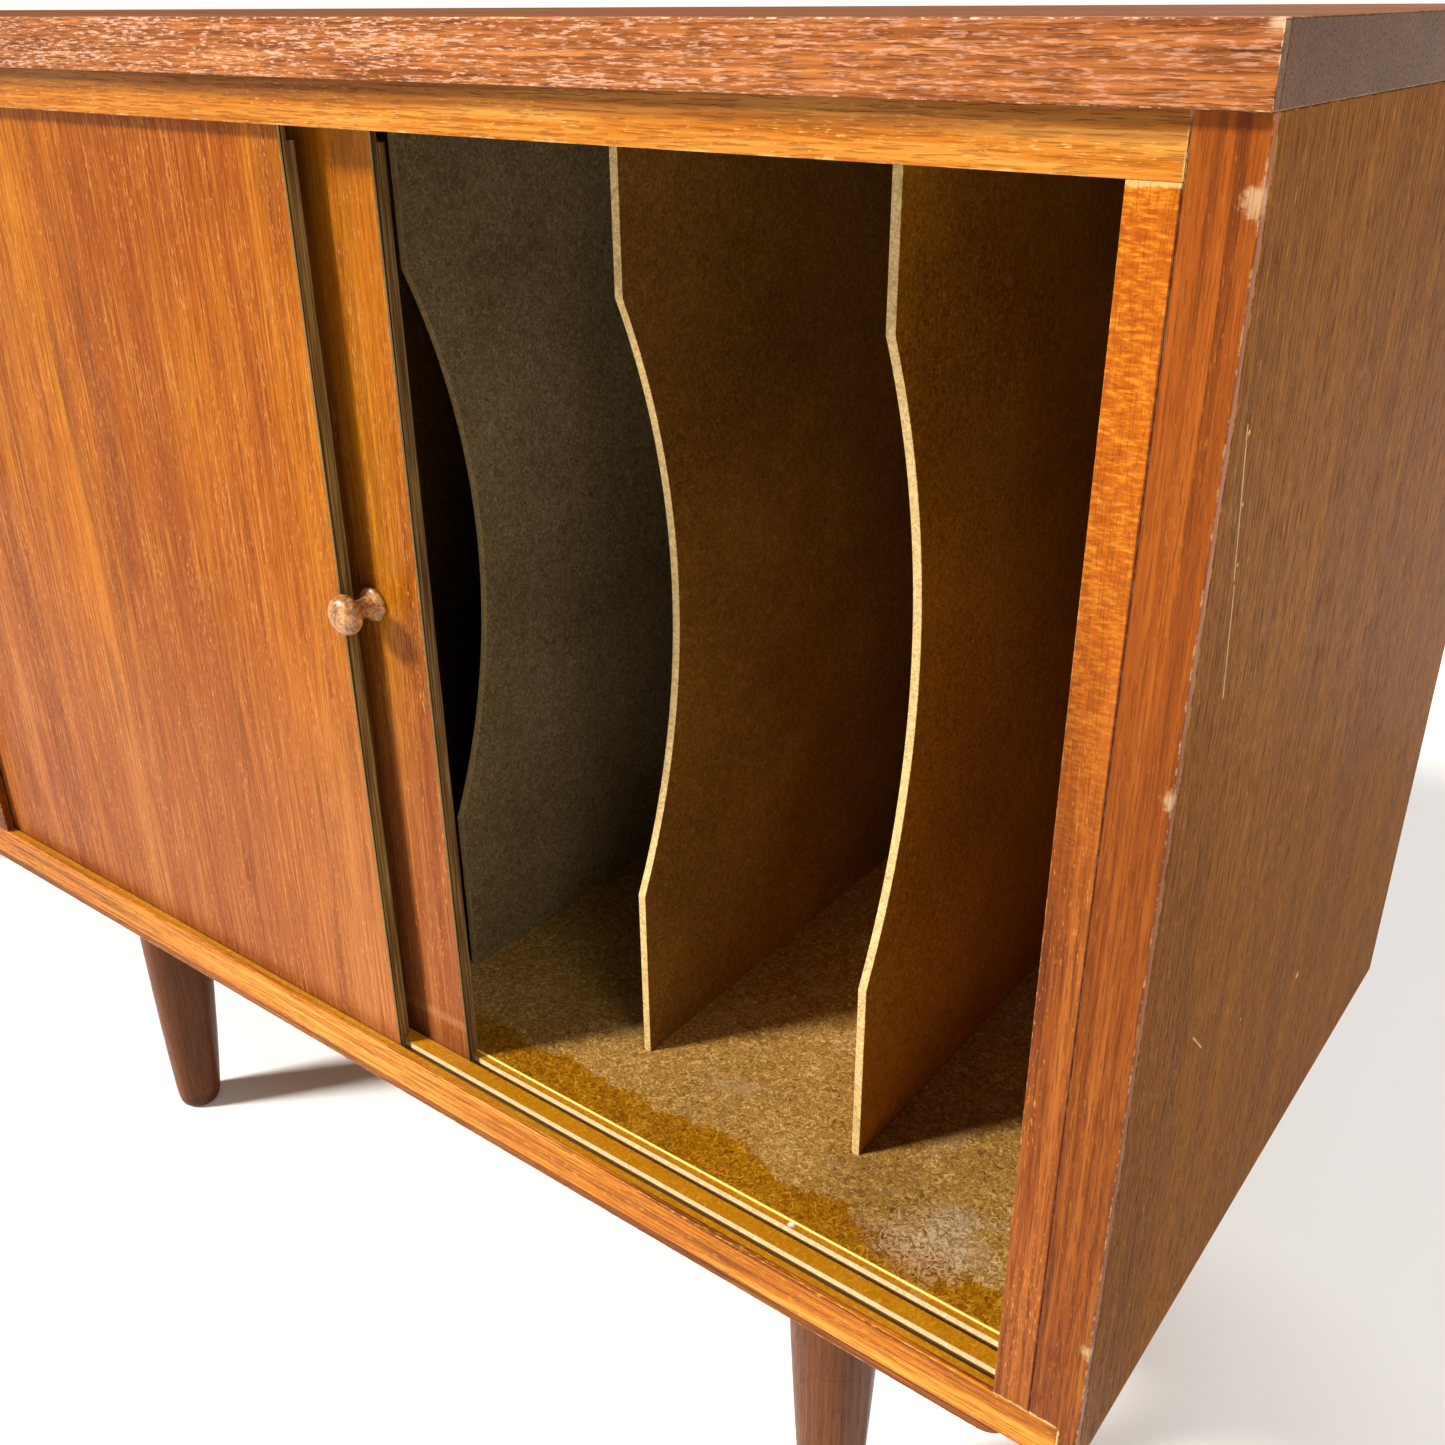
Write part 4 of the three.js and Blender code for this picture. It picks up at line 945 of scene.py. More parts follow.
def dividers():
    """Fibreboard dividers with a hollowed front edge between two corners."""
    brown = (rgb(66, 40, 4), rgb(110, 74, 18), rgb(154, 112, 44))
    grey = (rgb(84, 68, 38), rgb(134, 112, 72), rgb(186, 166, 124))
    edge = (rgb(140, 106, 56), rgb(222, 192, 130))
    amber = (rgb(104, 60, 0), rgb(164, 106, 14), rgb(206, 150, 50))
    sheets = {"divider_3": fibreboard("divider_grey_hardboard", grey, edge, 0.5),
              "divider_1": fibreboard("divider_amber_hardboard", amber, edge, 0.44)}
    plain = fibreboard("divider_hardboard", brown, edge, 0.44)
    for i in range(1, 5):
        node = f"divider_{i}"
        lo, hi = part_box(node)
        low, high = FLOOR_Z + DIVIDER["low"] * MM, RAIL_Z - DIVIDER["high"] * MM
        half, sag = (high - low) / 2, DIVIDER["sag"] * MM
        radius = (half * half + sag * sag) / (2 * sag)
        sweep = math.asin(half / radius)
        centre = (lo.y + sag - radius, (low + high) / 2)
        steps = 72
        outline = [(lo.y, lo.z), (hi.y, lo.z), (hi.y, hi.z), (lo.y, hi.z)]
        for s in range(steps + 1):
            angle = sweep - 2 * sweep * s / steps
            outline.append((centre[0] + radius * math.cos(angle), centre[1] + radius * math.sin(angle)))
        bm = prism(outline, "X", lo.x, hi.x)
        piece(f"{node}_sheet", bm, sheets.get(node, plain), "console", [node], 20, 0.35 * MM)


def sliding_doors():
    head = [(0, 0), (5.4, 0), (6.9, 0.12), (7.5, 0.55), (7.6, 1.3), (7.35, 2.1), (6.5, 2.7), (5.5, 3.1),
            (4.9, 3.25), (4.75, 3.6), (4.6, 4.4), (4.25, 5.8), (4.15, 7.4), (4.3, 9.0), (4.85, 10.7),
            (5.7, 11.9), (6.9, 12.6), (8.0, 13.3), (8.6, 14.5), (8.75, 15.8), (8.4, 17.5), (7.4, 19.0),
            (5.8, 20.1), (3.6, 20.75), (1.6, 20.95), (0, 21)]
    wood = knob_wood()
    for side, seed in (("front", 21.0), ("rear", 24.0)):
        node = f"{side}_door"
        finish_node(node, door_veneer(f"{node}_veneer", node, seed), 0.35 * MM)
        knob = f"{node}_knob"
        lo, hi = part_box(knob)
        at = ((lo.x + hi.x) / 2, hi.y, (lo.z + hi.z) / 2)
        piece(f"{knob}_spool", lathe(spline(head, 3), at, (0, -1, 0), 64), wood, node, [knob],
              50)


LEG = [(21.4, 0), (21.2, 8), (20.6, 22), (18.6, 62), (16.1, 105), (13.6, 139)]
SPLAY_SIDE, SPLAY_FRONT = math.tan(math.radians(1.7)), math.tan(math.radians(2.7))


def legs():
    """Turned legs that lean out by a shear, so that each foot stays flat."""
    tones = (rgb(54, 28, 10), rgb(93, 55, 28), rgb(132, 84, 48))
    foot = [(12.9, 144.5), (12.3, 147.6), (11.4, 149.6), (10.0, 150.8), (8.6, 151), (0, 151)]
    profile = [(0, 0), (20.6, 0), (21.2, 0.5)] + spline(LEG, 8) + foot
    seed = 30.0
    for row, lean in (("front", -1), ("rear", 1)):
        for out, where in ((1, "right"), (0, "centre"), (-1, "left")):
            node = f"leg_{row}_{where}"
            lo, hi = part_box(node)
            bm = lathe([(r, -down) for r, down in profile], (0, 0, 0), (0, 0, 1), 72)
            for v in bm.verts:
                v.co += Vector((-v.co.z * out * SPLAY_SIDE, -v.co.z * lean * SPLAY_FRONT, 0))
                v.co += Vector(((lo.x + hi.x) / 2, (lo.y + hi.y) / 2, hi.z))
            wood = turned_wood(f"{node}_wood", tones, seed)
            piece(f"{node}_turned", bm, wood, "console", [node], 40)
            seed += 1


# ---- lid hinge, back and screws --------------------------------------------------------------------------
def hardware():
    brass = metal("hinge_brass", rgb(196, 156, 86), 0.34, "X", 0.5)
    steel = metal("screw_steel", rgb(168, 164, 156), 0.36, None, 0.5)
    finish_node("lid_hinge_case_leaf", brass)
    finish_node("lid_hinge_lid_leaf", brass)
    for node, body, high in (("lid_hinge_case_leaf", "console", False), ("lid_hinge_lid_leaf", "lid", True)):
        lo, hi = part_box(node)
        z = hi.z - 6 * MM if high else lo.z + 7 * MM
        count = 9
        face = BACK + 1.5 * MM
        points = [Vector((lo.x + (hi.x - lo.x) * (i + 0.5) / count, face, z)) for i in range(count)]
        screws(f"{node}_screws", points, (0, 1, 0), brass, body, 2.3, 0.45)

    for node in ("back_panel", "back_cover"):
        lo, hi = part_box(node)
        inset = 9 * MM
        low, high = lo.z + inset, hi.z - inset
        points = [Vector((lo.x + inset + (hi.x - lo.x - 2 * inset) * i / 5, hi.y, z)) for i in range(6)
                  for z in (low, high)]
        points += [Vector((x, hi.y, (low + high) / 2)) for x in (lo.x + inset, hi.x - inset)]
        screws(f"{node}_screws", points, (0, 1, 0), steel, "console", 3.4, 1.0)

    for row in ("front", "rear"):
        lo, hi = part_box(f"leg_rail_{row}")
        y = (lo.y + hi.y) / 2
        points = [Vector((lo.x + f * (hi.x - lo.x), y + s * 22 * MM, lo.z)) for f in (0.2, 0.4, 0.6, 0.8)
                  for s in (-1, 1)]
        screws(f"leg_rail_{row}_screws", points, (0, 0, -1), steel, "console", 3.6, 0.5)

    black = plastic("phenolic", rgb(34, 30, 28), 0.34, 0.2, 0.2)
    finish_node("mains_inlet", black, 0.4 * MM)
    lo, hi, centre = span("mains_inlet")
    pins = bmesh.new()
    for dx in (-5.5, 0, 5.5):
        lathe([(0, 0), (1.3, 0), (1.3, 3.6), (0.9, 4.1), (0, 4.2)],
              (centre.x + dx * MM, BACK + 1 * MM, centre.z), (0, 1, 0), 20, bm=pins)
    piece("mains_inlet_pins", pins, metal("pin_brass", rgb(206, 172, 104), 0.25, None, 0.3), "console")
    points = [Vector((centre.x + dx * MM, hi.y, centre.z)) for dx in (-13.2, 13.2)]
    screws("mains_inlet_screws", points, (0, 1, 0), steel, "console", 1.9, 0.5)


# ---- loudspeaker front -----------------------------------------------------------------------------------
def speaker():
    gold = (rgb(150, 82, 34), rgb(192, 116, 56), rgb(222, 152, 88))
    finish_node("grille_slats", lipping_wood("slat_teak", "grille_slats", "Z", gold, 40.0), 0.6 * MM)
    board = fibreboard("baffle_board", (rgb(96, 66, 34), rgb(148, 108, 62), rgb(190, 150, 98)))
    finish_node("speaker_baffle", board)

    lo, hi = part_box("grille_cloth")
    bm = bmesh.new()
    nx, nz = 72, 62
    y = hi.y - 0.35 * MM
    rows = []
    for j in range(nz + 1):
        row = []
        for i in range(nx + 1):
            u, v = i / nx, j / nz
            rim = min(1, 12 * min(u, 1 - u, v, 1 - v))
            bulge = -0.22 * MM * rim * (math.sin(9 * u + 5 * v) * math.sin(7 * v - 3 * u) + 1)
            row.append(bm.verts.new((lo.x + u * (hi.x - lo.x), y + bulge, lo.z + v * (hi.z - lo.z))))
        rows.append(row)
    skin(bm, rows, closed=False)
    sheet = piece("grille_cloth_sheet", bm, cloth("grille_weave"), "console",
                  ["grille_cloth"], 80)
    thick = sheet.modifiers.new("thickness", "SOLIDIFY")
    thick.thickness = 0.3 * MM
    thick.offset = 0

    # loudspeaker, turned about an axis that points to the front
    lo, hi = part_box("woofer")
    at = ((lo.x + hi.x) / 2, hi.y, (lo.z + hi.z) / 2)
    paper = plastic("cone_paper", rgb(44, 40, 36), 0.9, 0.5)
    basket = metal("basket_steel", rgb(96, 94, 88), 0.5, None, 0.3)
    magnet = metal("magnet_steel", rgb(146, 138, 112), 0.45, None, 0.4)
    front = (0, -1, 0)
    back_cup = [(0, 0), (24.6, 0), (26.6, 1.4), (27, 4), (27, 17), (25, 19.4), (18, 20), (0, 20)]
    piece("woofer_magnet", lathe(back_cup, at, front, 64), magnet, "console", ["woofer"], 40)
    ring = [(20, 20.3), (33, 20.3), (34, 22), (66, 47), (81, 50), (82, 51), (82, 53), (80, 54), (68, 54),
            (66, 52), (63.5, 48.6), (33.5, 24.4), (20, 24), (20, 20.3)]
    piece("woofer_basket", lathe(ring, at, front, 72), basket, "console", (), 40)
    cone = [(12, 29.5), (14, 28.8)] + [(14 + 42 * t, 29 + 21.4 * t ** 0.86)
                                       for t in (i / 16 for i in range(1, 17))]
    roll = [(56 + 6.4 * t, 50.4 + 1.8 * math.sin(math.pi * 3 * t)) for t in (i / 18 for i in range(1, 19))]
    face = cone + roll
    closed = face + [(r, h - 0.6) for r, h in reversed(face)] + [face[0]]
    piece("woofer_cone", lathe(closed, at, front, 96), paper, "console", (), 50)
    cap = [(0, 35), (4, 34.7), (8, 33.4), (11, 31.4), (12.6, 29.8), (11.5, 29.4), (8, 31.4), (0, 33)]
    piece("woofer_dust_cap", lathe(cap, at, front, 48), paper, "console", (), 50)
    points = [Vector((at[0] + 74 * MM * math.cos(a), at[1] - 50 * MM, at[2] + 74 * MM * math.sin(a)))
              for a in (math.pi / 4 + i * math.pi / 2 for i in range(4))]
    screws("woofer_screws", points, (0, 1, 0), basket, "console", 3.4, 1.2)


# ---- record player ---------------------------------------------------------------------------------------
def label(name, text, at, size, material, body, turn=0.0):
    """Raised printed numbers lying on a level face."""
    curve = bpy.data.curves.new(name, "FONT")
    curve.body = text
    curve.size = size
    curve.extrude = 0.00005
    curve.align_x = "CENTER"
    curve.align_y = "CENTER"
    curve.resolution_u = 3
    draft = bpy.data.objects.new(name + "_draft", curve)
    mesh = bpy.data.meshes.new_from_object(draft)
    bpy.data.objects.remove(draft)
    mesh.transform(Matrix.Translation(at) @ Matrix.Rotation(turn, 4, "Z"))
    mesh.name = name
    mesh.materials.clear()
    mesh.materials.append(material)
    obj = bpy.data.objects.new(name, mesh)
    bpy.context.scene.collection.objects.link(obj)
    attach(obj, body)
    return obj


def player():
    finish_node("deck_board", board_veneer("deck_veneer", "deck_board", 50.0), 0.3 * MM)
    cream = enamel("deck_enamel", rgb(222, 210, 180))
    finish_node("player_deck", cream, 0.6 * MM)
    alloy = metal("turned_aluminium", rgb(206, 206, 204), 0.3, None, 0.1)
    steel = metal("bright_steel", rgb(186, 186, 184), 0.2, None, 0.1)
    rubber = plastic("mat_rubber", rgb(30, 29, 28), 0.75, 0.4)
    ivory = plastic("ivory_urea", rgb(226, 212, 176), 0.26, 0.3, 0.3)
    ink = plastic("dial_ink", rgb(48, 38, 30), 0.6, 0.2)

    # platter with a dished rim, ribbed mat and centre spindle
    lo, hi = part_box("platter")
    at = Vector(((lo.x + hi.x) / 2, (lo.y + hi.y) / 2, 0))
    mat_lo, mat_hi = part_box("platter_mat")
    rim = (hi.x - lo.x) / 2 / MM
    low = (mat_lo.z / MM) - 16.05
    top = low + 16
    profile = [(0, low - 15), (4.1, low - 15), (4.1, low + 1.2), (22, low + 1.2), (24, low), (rim - 3, low),
               (rim - 0.8, low + 0.8), (rim - 0.1, low + 2.6)]
    profile += [(rim - 0.1 - 0.5 * (i % 2), low + 3.4 + i * 0.8) for i in range(13)]
    profile += [(rim - 0.2, top - 1.6), (rim - 1.2, top - 0.4), (rim - 2.4, top), (6, top), (0, top)]
    piece("platter_turned", lathe(profile, at, steps=128), alloy, "platter", ["platter"], 30)
    spindle = [(0, top + 0.02), (3.55, top + 0.02), (3.55, top + 22), (3.3, top + 24), (2.2, top + 26.4),
               (0, top + 27)]
    piece("platter_spindle", lathe(spindle, at, steps=40), steel, "platter", (), 30)
    outer = (mat_hi.x - mat_lo.x) / 2 / MM
    base, crest = top + 0.06, mat_hi.z / MM
    mat = [(4.2, base), (outer - 0.6, base), (outer, base + 0.6), (outer, crest - 0.9), (outer - 0.8, crest)]
    ribs = 22
    for i in range(ribs):
        r = outer - 4 - i * (outer - 48) / ribs
        mat += [(r, crest), (r - 0.7, crest - 0.7), (r - 1.8, crest - 0.7), (r - 2.4, crest)]
    mat += [(45, crest), (43, crest - 0.9), (8, crest - 0.9), (4.2, crest - 1.2), (4.2, base)]
    piece("platter_mat_ribbed", lathe(mat, at, steps=128), rubber, "platter", ["platter_mat"], 25)

    # motor can under the deck
    lo, hi, c = span("player_motor")
    height = (hi.z - lo.z) / MM
    can = [(0, 0), (29, 0), (32, 1.5), (33, 5), (33, 43), (31.5, 46.5), (28, 48), (8, 48), (7, 49), (5, 49),
           (5, height - 6), (4, height - 6), (4, height - 0.4), (0, height)]
    piece("player_motor_can", lathe(can, (c.x, c.y, lo.z), steps=56),
          metal("motor_can", rgb(150, 148, 138), 0.4, None, 0.4), "console", ["player_motor"], 30)

    # speed selector: pointer knob with its numbers on the deck
    lo, hi, c = span("speed_knob")
    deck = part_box("radio_panel")[0].z - 0.3 * MM + 3 * MM
    knob = [(0, -12.5), (2.9, -12.5), (2.9, 0.7), (12.2, 0.7), (13, 1.4), (13, 5.4), (12.4, 6.8), (11, 7.4),
            (0, 7.5)]

    def ripple(a, r):
        return r + (0.16 * math.sin(40 * a) if r > 12.5 else 0)
    body = lathe(knob, (c.x, c.y, deck), steps=64, flute=ripple)
    piece("speed_knob_body", body, ivory, "speed_knob", ["speed_knob"], 35)
    tip = deck + 7.3 * MM
    grip = slab((c.x, c.y), 2.2, 11, tip - 1.4 * MM, tip + 0.7 * MM, 0.6 * MM)
    piece("speed_knob_grip", grip, ivory, "speed_knob", (), 40)
    line = block((c.x - 0.4 * MM, c.y + 2 * MM, tip + 0.62 * MM),
                 (c.x + 0.4 * MM, c.y + 9 * MM, tip + 0.74 * MM))
    piece("speed_knob_line", line, ink, "speed_knob")
    for text, angle in (("16", 60), ("33", 30), ("45", 0), ("78", -30)):
        a = math.radians(90 + angle)
        spot = Vector((c.x + 18.5 * MM * math.cos(a), c.y + 18.5 * MM * math.sin(a), deck + 0.06 * MM))
        label(f"speed_{text}", text, spot, 5 * MM, ink, "console")
    lo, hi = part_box("player_deck")
    inset = 9 * MM
    corners = [Vector((x, y, deck)) for x in (lo.x + inset, hi.x - inset)
               for y in (lo.y + inset, hi.y - inset)]
    screws("player_deck_screws", corners, (0, 0, 1), steel, "console", 3.2, 0.9)
    tonearm(cream, alloy, ivory, steel, rubber)


def tonearm(cream, alloy, ivory, steel, rubber):
    lo, hi, c = span("tonearm_pillar")
    h = (hi.z - lo.z) / MM
    pillar = [(0, 0), (18.4, 0), (19, 0.6), (19, 3.4), (18, 4.6), (14.4, 6), (12.6, 7.6), (12, 9.6),
              (12, h - 1), (11, h), (0, h)]
    piece("tonearm_pillar_turned", lathe(pillar, (c.x, c.y, lo.z), steps=64), cream, "console",
          ["tonearm_pillar"], 30)
    lo, hi, g = span("tonearm_gimbal")
    bm = lathe([(0, 0), (13.4, 0), (14, 0.6), (14, 3.0), (13.4, 3.5), (0, 3.6)], (g.x, g.y, lo.z), steps=64)
    for s in (-1, 1):
        x0, x1 = sorted((g.x + s * 7.8 * MM, g.x + s * 12 * MM))
        block((x0, g.y - 6 * MM, lo.z + 3.3 * MM), (x1, g.y + 6 * MM, hi.z), 1.2 * MM, 3, bm)
    piece("tonearm_gimbal_yoke", bm, alloy, "tonearm_gimbal", ["tonearm_gimbal"], 35)
    points = [Vector((g.x + s * 12 * MM, g.y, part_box("tonearm")[0].z + 10 * MM)) for s in (-1, 1)]
    bm = bmesh.new()
    for s, p in zip((-1, 1), points):
        screw_head(bm, p, (s, 0, 0), 2.6, 0.8)
    piece("tonearm_pivot_screws", bm, steel, "tonearm_gimbal")

    lo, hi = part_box("tonearm")
    x = g.x
    axis_z = lo.z + 11 * MM if hi.z - lo.z > 21 * MM else (lo.z + hi.z) / 2
    front, back = lo.y, hi.y
    stylus = front + 12 * MM
    bm = bmesh.new()
    shell = [(front, 6.0, 3.0), (front + 3 * MM, 8.6, 4.3), (stylus + 12 * MM, 8.0, 4.4),
             (stylus + 26 * MM, 6.6, 4.4), (stylus + 60 * MM, 4.8, 4.2), (g.y - 40 * MM, 4.2, 4.1),
             (g.y - 9 * MM, 5.2, 4.6), (g.y - 6.6 * MM, 6.6, 5.6), (g.y + 6.6 * MM, 6.6, 5.6),
             (g.y + 9 * MM, 4.2, 4.0), (g.y + 16 * MM, 3.4, 3.4), (back, 3.3, 3.3)]
    rings, sides = [], 32
    for y, w, t in shell:
        ring = []
        for i in range(sides):
            a = 2 * math.pi * i / sides
            cx = math.copysign(abs(math.cos(a)) ** 0.6, math.cos(a))
            cz = math.copysign(abs(math.sin(a)) ** 0.6, math.sin(a))
            ring.append(bm.verts.new((x + cx * w * MM, y, axis_z + cz * t * MM)))
        rings.append(ring)
    skin(bm, rings, capped=True)
    piece("tonearm_moulding", bm, ivory, "tonearm", ["tonearm"], 40)
    w = [(0, 0), (10, 0), (11, 1), (11, 17.6), (10, 18.6), (3.5, 19), (0, 19)]

    def knurl(a, r):
        return r - (0.18 if r > 10.5 and math.sin(60 * a) > 0 else 0)
    weight = lathe(w, (x, g.y + 18 * MM, axis_z), (0, 1, 0), 64, knurl)
    piece("tonearm_weight", weight, alloy, "tonearm", (), 30)
    bm = block((x - 5.4 * MM, stylus - 7 * MM, axis_z - 9.6 * MM),
               (x + 5.4 * MM, stylus + 11 * MM, axis_z - 4 * MM), 0.9 * MM)
    piece("tonearm_cartridge", bm, rubber, "tonearm", (), 40)
    bm = tube([(x, stylus - 1 * MM, axis_z - 9.4 * MM), (x, stylus - 3 * MM, axis_z - 9.95 * MM)],
              [0.5 * MM, 0.15 * MM], 12)
    piece("tonearm_stylus", bm, steel, "tonearm", (), 60)
    lift = [(x + 7 * MM, stylus - 4 * MM, axis_z), (x + 8.2 * MM, stylus - 5 * MM, axis_z + 1.2 * MM),
            (x + 8.7 * MM, stylus - 7 * MM, axis_z + 3.0 * MM)]
    piece("tonearm_finger_lift", tube(lift, 0.55 * MM, 12), steel, "tonearm", (), 60)


# ---- radio -----------------------------------------------------------------------------------------------
def radio():
    brushed = metal("panel_aluminium", rgb(226, 220, 204), 0.5, "Y", 0.2)
    finish_node("radio_panel", brushed, 0.5 * MM)
    brass = metal("knob_brass", rgb(230, 192, 116), 0.46, None, 0.2)
    ivory = plastic("knob_ivory", rgb(228, 216, 184), 0.25, 0.3, 0.3)
    ink = plastic("scale_ink", rgb(52, 36, 26), 0.6, 0.2)
    red = plastic("pointer_red", rgb(176, 36, 24), 0.4, 0.2)
    card = printed_card("scale_card", rgb(234, 224, 192))

    lo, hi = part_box("dial_glass")
    panel_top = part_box("radio_panel")[1].z
    base = panel_top - 6 * MM
    pad = 0.4 * MM
    bm = block((lo.x + pad, lo.y + pad, base + 0.05 * MM), (hi.x - pad, hi.y - pad, base + 0.45 * MM))
    piece("dial_scale", bm, card, "console")
    level = base + 0.5 * MM
    p_lo, p_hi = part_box("dial_pointer")
    start = (p_lo.y + p_hi.y) / 2 - 0.004
    travel = 0.216
    ticks = bmesh.new()
    rows = {"long": (lo.x + 14 * MM, 41), "short": (hi.x - 14 * MM, 27)}
    for x, count in rows.values():
        for i in range(count):
            y = start + travel * i / (count - 1)
            reach = (4.2 if i % 5 == 0 else 2.4) * MM
            block((x - reach, y - 0.18 * MM, level - 0.02 * MM),
                  (x + reach, y + 0.18 * MM, level + 0.05 * MM), bm=ticks)
        block((x - 0.15 * MM, start, level - 0.02 * MM), (x + 0.15 * MM, start + travel, level + 0.05 * MM),
              bm=ticks)
    piece("dial_ticks", ticks, ink, "console", (), 30)
    numbers = {"long": ("150", "160", "180", "200", "230", "270", "300", "340", "400"),
               "short": ("55", "60", "70", "80", "100", "120", "160")}
    for row, (x, count) in rows.items():
        shift = (-9 if row == "long" else 9) * MM
        for i, text in enumerate(numbers[row]):
            y = start + travel * (i + 0.5) / len(numbers[row])
            label(f"dial_{row}_{text}", text, Vector((x + shift, y, level)), 4.6 * MM, ink, "console",
                  math.pi / 2)
    bm = block((p_lo.x, p_lo.y + 0.3 * MM, p_lo.z), (p_hi.x, p_hi.y - 0.3 * MM, p_hi.z), 0.3 * MM)
    piece("dial_pointer_needle", bm, red, "dial_pointer", ["dial_pointer"], 40)
    finish_node("dial_glass", glass("dial_glass_clear", (0.96, 0.98, 0.97, 1)), 0.3 * MM)

    for node, body_r, height in (("tuning_knob", 21, 15), ("volume_knob", 14, 13), ("tone_knob", 14, 13)):
        lo, hi, c = span(node)
        z = hi.z / MM
        low = z - height
        stem = lo.z / MM
        profile = [(0, stem), (2.9, stem), (2.9, low), (body_r - 0.8, low), (body_r, low + 0.8),
                   (body_r, z - 3.2), (body_r - 0.8, z - 1.4), (body_r - 2.4, z - 0.3),
                   (body_r * 0.72, z - 0.1), (body_r * 0.66, z - 0.9), (0, z - 0.9)]
        teeth = 36 if body_r > 15 else 28
        edge = body_r - 0.4

        def flute(a, r, teeth=teeth, edge=edge):
            return r - (0.55 * (0.5 + 0.5 * math.cos(teeth * a)) ** 2 if r > edge else 0)
        piece(f"{node}_body", lathe(profile, (c.x, c.y, 0), steps=teeth * 6, flute=flute), ivory, node,
              [node], 40)
        inlay = [(0, z - 0.85), (body_r * 0.64, z - 0.85), (body_r * 0.64, z - 0.35),
                 (body_r * 0.6, z - 0.15), (body_r * 0.2, z - 0.45), (0, z - 0.5)]
        piece(f"{node}_inlay", lathe(inlay, (c.x, c.y, 0), steps=72), brass, node, (), 30)
        if node != "tuning_knob":
            bm = block((c.x - 0.5 * MM, c.y + body_r * 0.68 * MM, (z - 0.3) * MM),
                       (c.x + 0.5 * MM, c.y + (body_r - 2.2) * MM, (z - 0.05) * MM))
            piece(f"{node}_mark", bm, ink, node)
            marks = bmesh.new()
            for i in range(11):
                a = math.radians(90 + 135 - 27 * i)
                p = Vector((c.x + (body_r + 3.5) * MM * math.cos(a),
                            c.y + (body_r + 3.5) * MM * math.sin(a), panel_top))
                block(p - Vector((0.45, 0.45, 0.02)) * MM, p + Vector((0.45, 0.45, 0.08)) * MM, bm=marks)
            piece(f"{node}_scale_marks", marks, ink, "console", (), 30)
    for node in ("key_off", "key_phono", "key_radio"):
        lo, hi, c = span(node)
        cap_low = panel_top + 5 * MM
        bm = block((lo.x, lo.y, cap_low), (hi.x, hi.y, hi.z - 0.2 * MM), 1.4 * MM, 4)
        for v in bm.verts:
            if v.co.z > cap_low + 3 * MM:
                v.co.z -= 1.6 * MM * ((v.co.y - lo.y) / (hi.y - lo.y)) ** 1.4
        slab((c.x, c.y), 4.4, 4.4, lo.z, cap_low + 0.6 * MM, 0.4 * MM, 2, bm)
        piece(f"{node}_cap", bm, ivory, node, [node], 35)
    lo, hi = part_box("radio_panel")
    inset = 5.5 * MM
    points = [Vector((x, y, hi.z)) for x in (lo.x + inset, hi.x - inset)
              for y in (lo.y + inset, hi.y - inset)]
    screws("radio_panel_screws", points, (0, 0, 1), brass, "console", 2.2, 0.6)
    chassis()


def valve(bm_glass, bm_metal, at, radius=9.6, height=58):
    base = [(0, 0), (10.2, 0), (10.2, 7), (9.4, 8), (0, 8)]
    lathe(base, at, steps=40, bm=bm_metal)
    bulb = [(0, 8.3), (radius - 0.6, 8.3), (radius, 10), (radius, height - 12), (radius - 1.2, height - 7),
            (radius - 4, height - 3), (2.6, height - 1.2), (1.2, height + 1.5), (0, height + 2)]
    lathe(bulb, at, steps=40, bm=bm_glass)
    plate = [(0, 13), (5.4, 13), (5.4, height - 20), (0, height - 20)]
    lathe(plate, at, steps=24, bm=bm_metal)


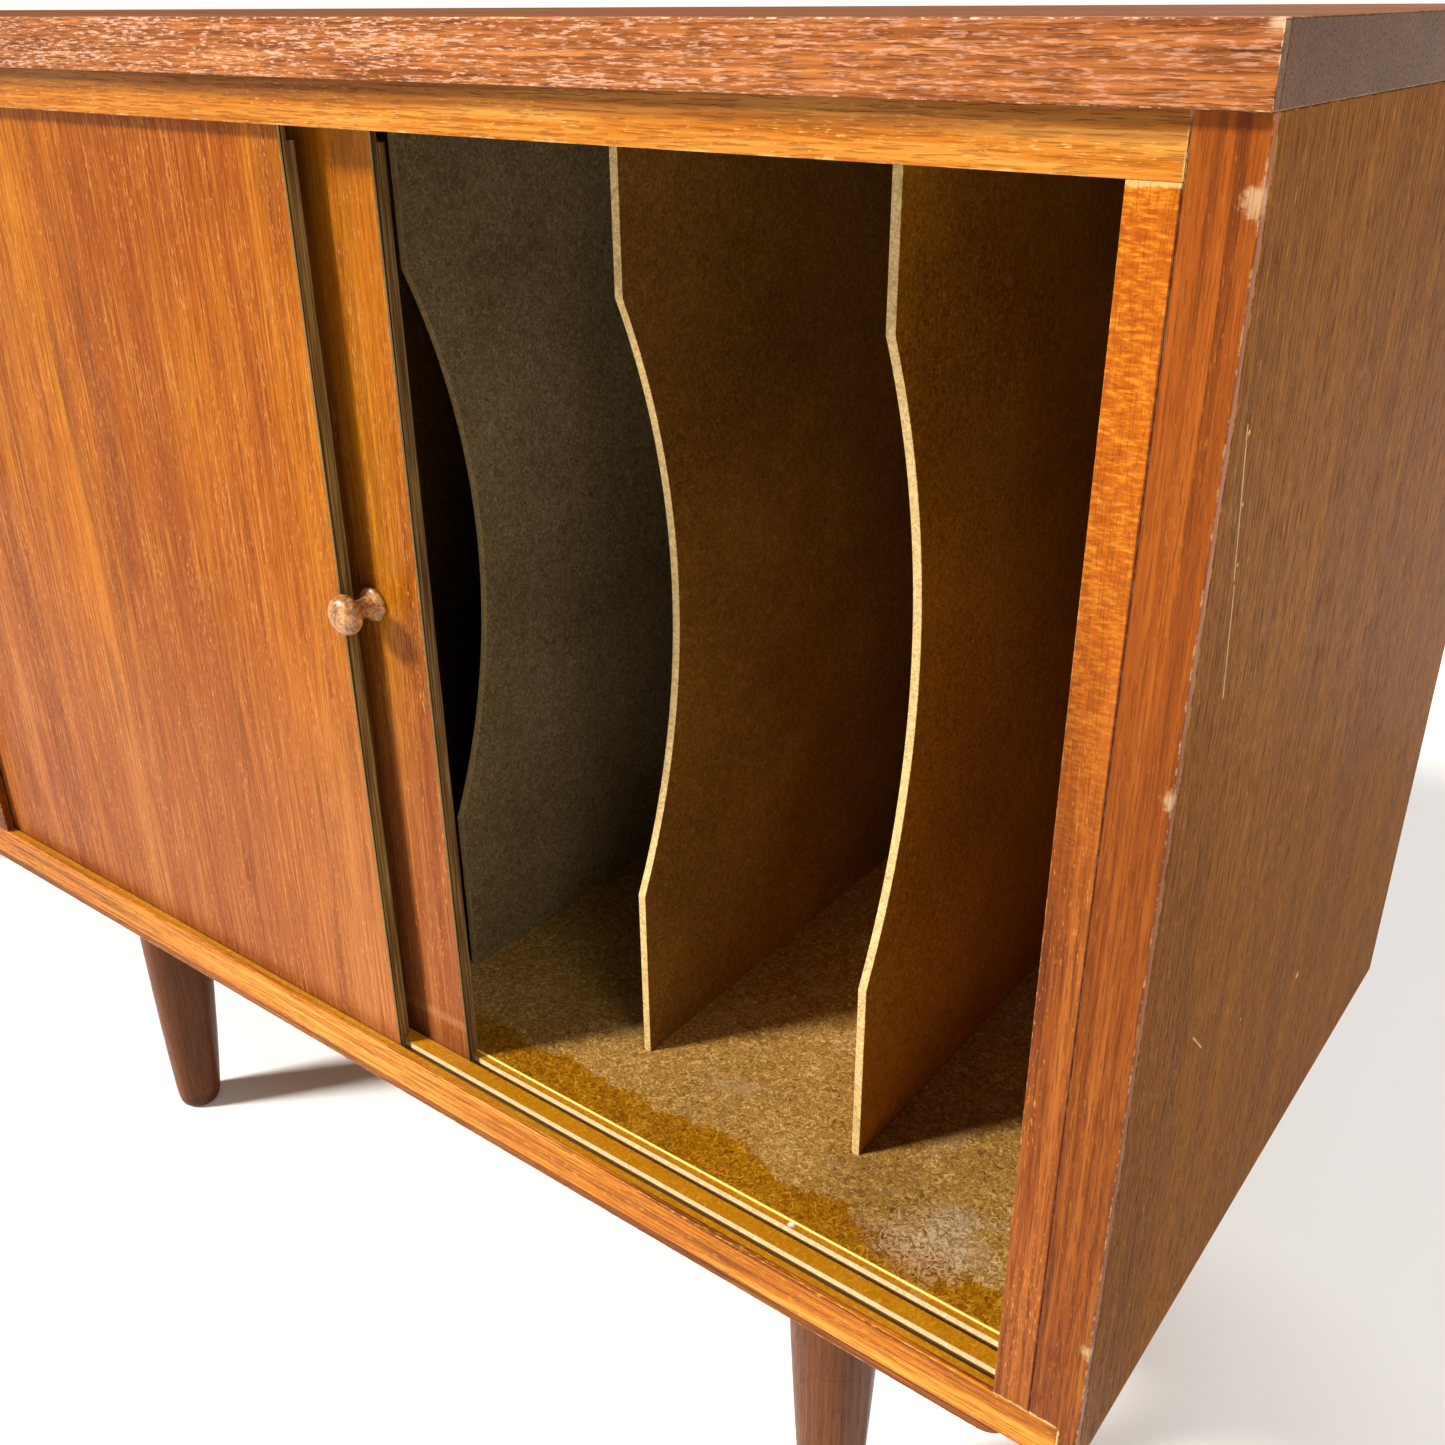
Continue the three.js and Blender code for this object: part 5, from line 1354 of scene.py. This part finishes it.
def chassis():
    """Tuner under the radio panel and amplifier on the cabinet floor."""
    zinc = metal("chassis_zinc", rgb(170, 168, 156), 0.42, None, 0.5)
    can = metal("screening_can", rgb(196, 196, 192), 0.28, None, 0.2)
    iron = metal("transformer_iron", rgb(92, 88, 82), 0.55, None, 0.5)
    wrap = printed_card("transformer_paper", rgb(188, 150, 88))
    dark = metal("valve_metal", rgb(78, 76, 74), 0.5)
    bulb = glass("valve_glass", (0.92, 0.94, 0.94, 1))
    lo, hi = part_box("tuner_chassis")
    tray_top = lo.z + 24 * MM
    bm = block((lo.x, lo.y, lo.z), (hi.x, hi.y, tray_top), 1 * MM)
    piece("tuner_tray", bm, zinc, "console", ["tuner_chassis"], 35)
    cans, glasses, metals = bmesh.new(), bmesh.new(), bmesh.new()
    cx = (lo.x + hi.x) / 2
    for x in (cx - 34 * MM, cx + 34 * MM):
        for y in (lo.y + 30 * MM, lo.y + 80 * MM):
            slab((x, y), 10, 10, tray_top, tray_top + 34 * MM, 1.5 * MM, 3, cans)
    piece("tuner_coil_cans", cans, can, "console", (), 35)
    gang = bmesh.new()
    block((cx - 22 * MM, hi.y - 70 * MM, tray_top), (cx + 22 * MM, hi.y - 14 * MM, tray_top + 4 * MM),
          0.5 * MM, 2, gang)
    for i in range(11):
        y = hi.y - 66 * MM + i * 4.6 * MM
        block((cx - 20 * MM, y, tray_top + 4 * MM), (cx + 20 * MM, y + 0.7 * MM, tray_top + 32 * MM), bm=gang)
    piece("tuner_gang_capacitor", gang, can, "console", (), 30)
    for x in (cx - 30 * MM, cx + 30 * MM):
        at = Vector((x, lo.y + 130 * MM, tray_top))
        valve(glasses, metals, at, 7.5, 34)
    lo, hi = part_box("amplifier")
    deck = lo.z + 45 * MM
    tray = block((lo.x, lo.y, lo.z), (hi.x, hi.y, deck), 1.2 * MM, 2)
    piece("amplifier_tray", tray, zinc, "console", ["amplifier"], 35)
    y = (lo.y + hi.y) / 2
    irons = (("mains_transformer", lo.x + 38 * MM, 28, 34, 58),
             ("output_transformer", hi.x - 29 * MM, 19, 25, 41))
    for name, x, half_x, half_y, tall in irons:
        core = bmesh.new()
        leaves = 12
        for i in range(leaves):
            x0 = x - half_x * 0.62 * MM + i * (half_x * 1.24 / leaves) * MM
            x1 = x0 + half_x * 1.24 / leaves * 0.86 * MM
            block((x0, y - half_y * MM, deck), (x1, y + half_y * MM, deck + tall * MM), bm=core)
        piece(f"{name}_core", core, iron, "console", (), 30)
        coil = block((x - half_x * MM, y - half_y * 0.62 * MM, deck + tall * 0.2 * MM),
                     (x + half_x * MM, y + half_y * 0.62 * MM, deck + tall * 0.8 * MM), 3 * MM, 4)
        piece(f"{name}_coil", coil, wrap, "console", (), 40)
    for i in range(3):
        at = Vector((lo.x + (88 + 28 * i) * MM, y, deck))
        valve(glasses, metals, at, 9.6, 60)
    piece("valve_bulbs", glasses, bulb, "console", (), 40)
    piece("valve_innards", metals, dark, "console", (), 35)


add_camera()
add_stage()
case()
dividers()
sliding_doors()
legs()
hardware()
speaker()
player()
radio()
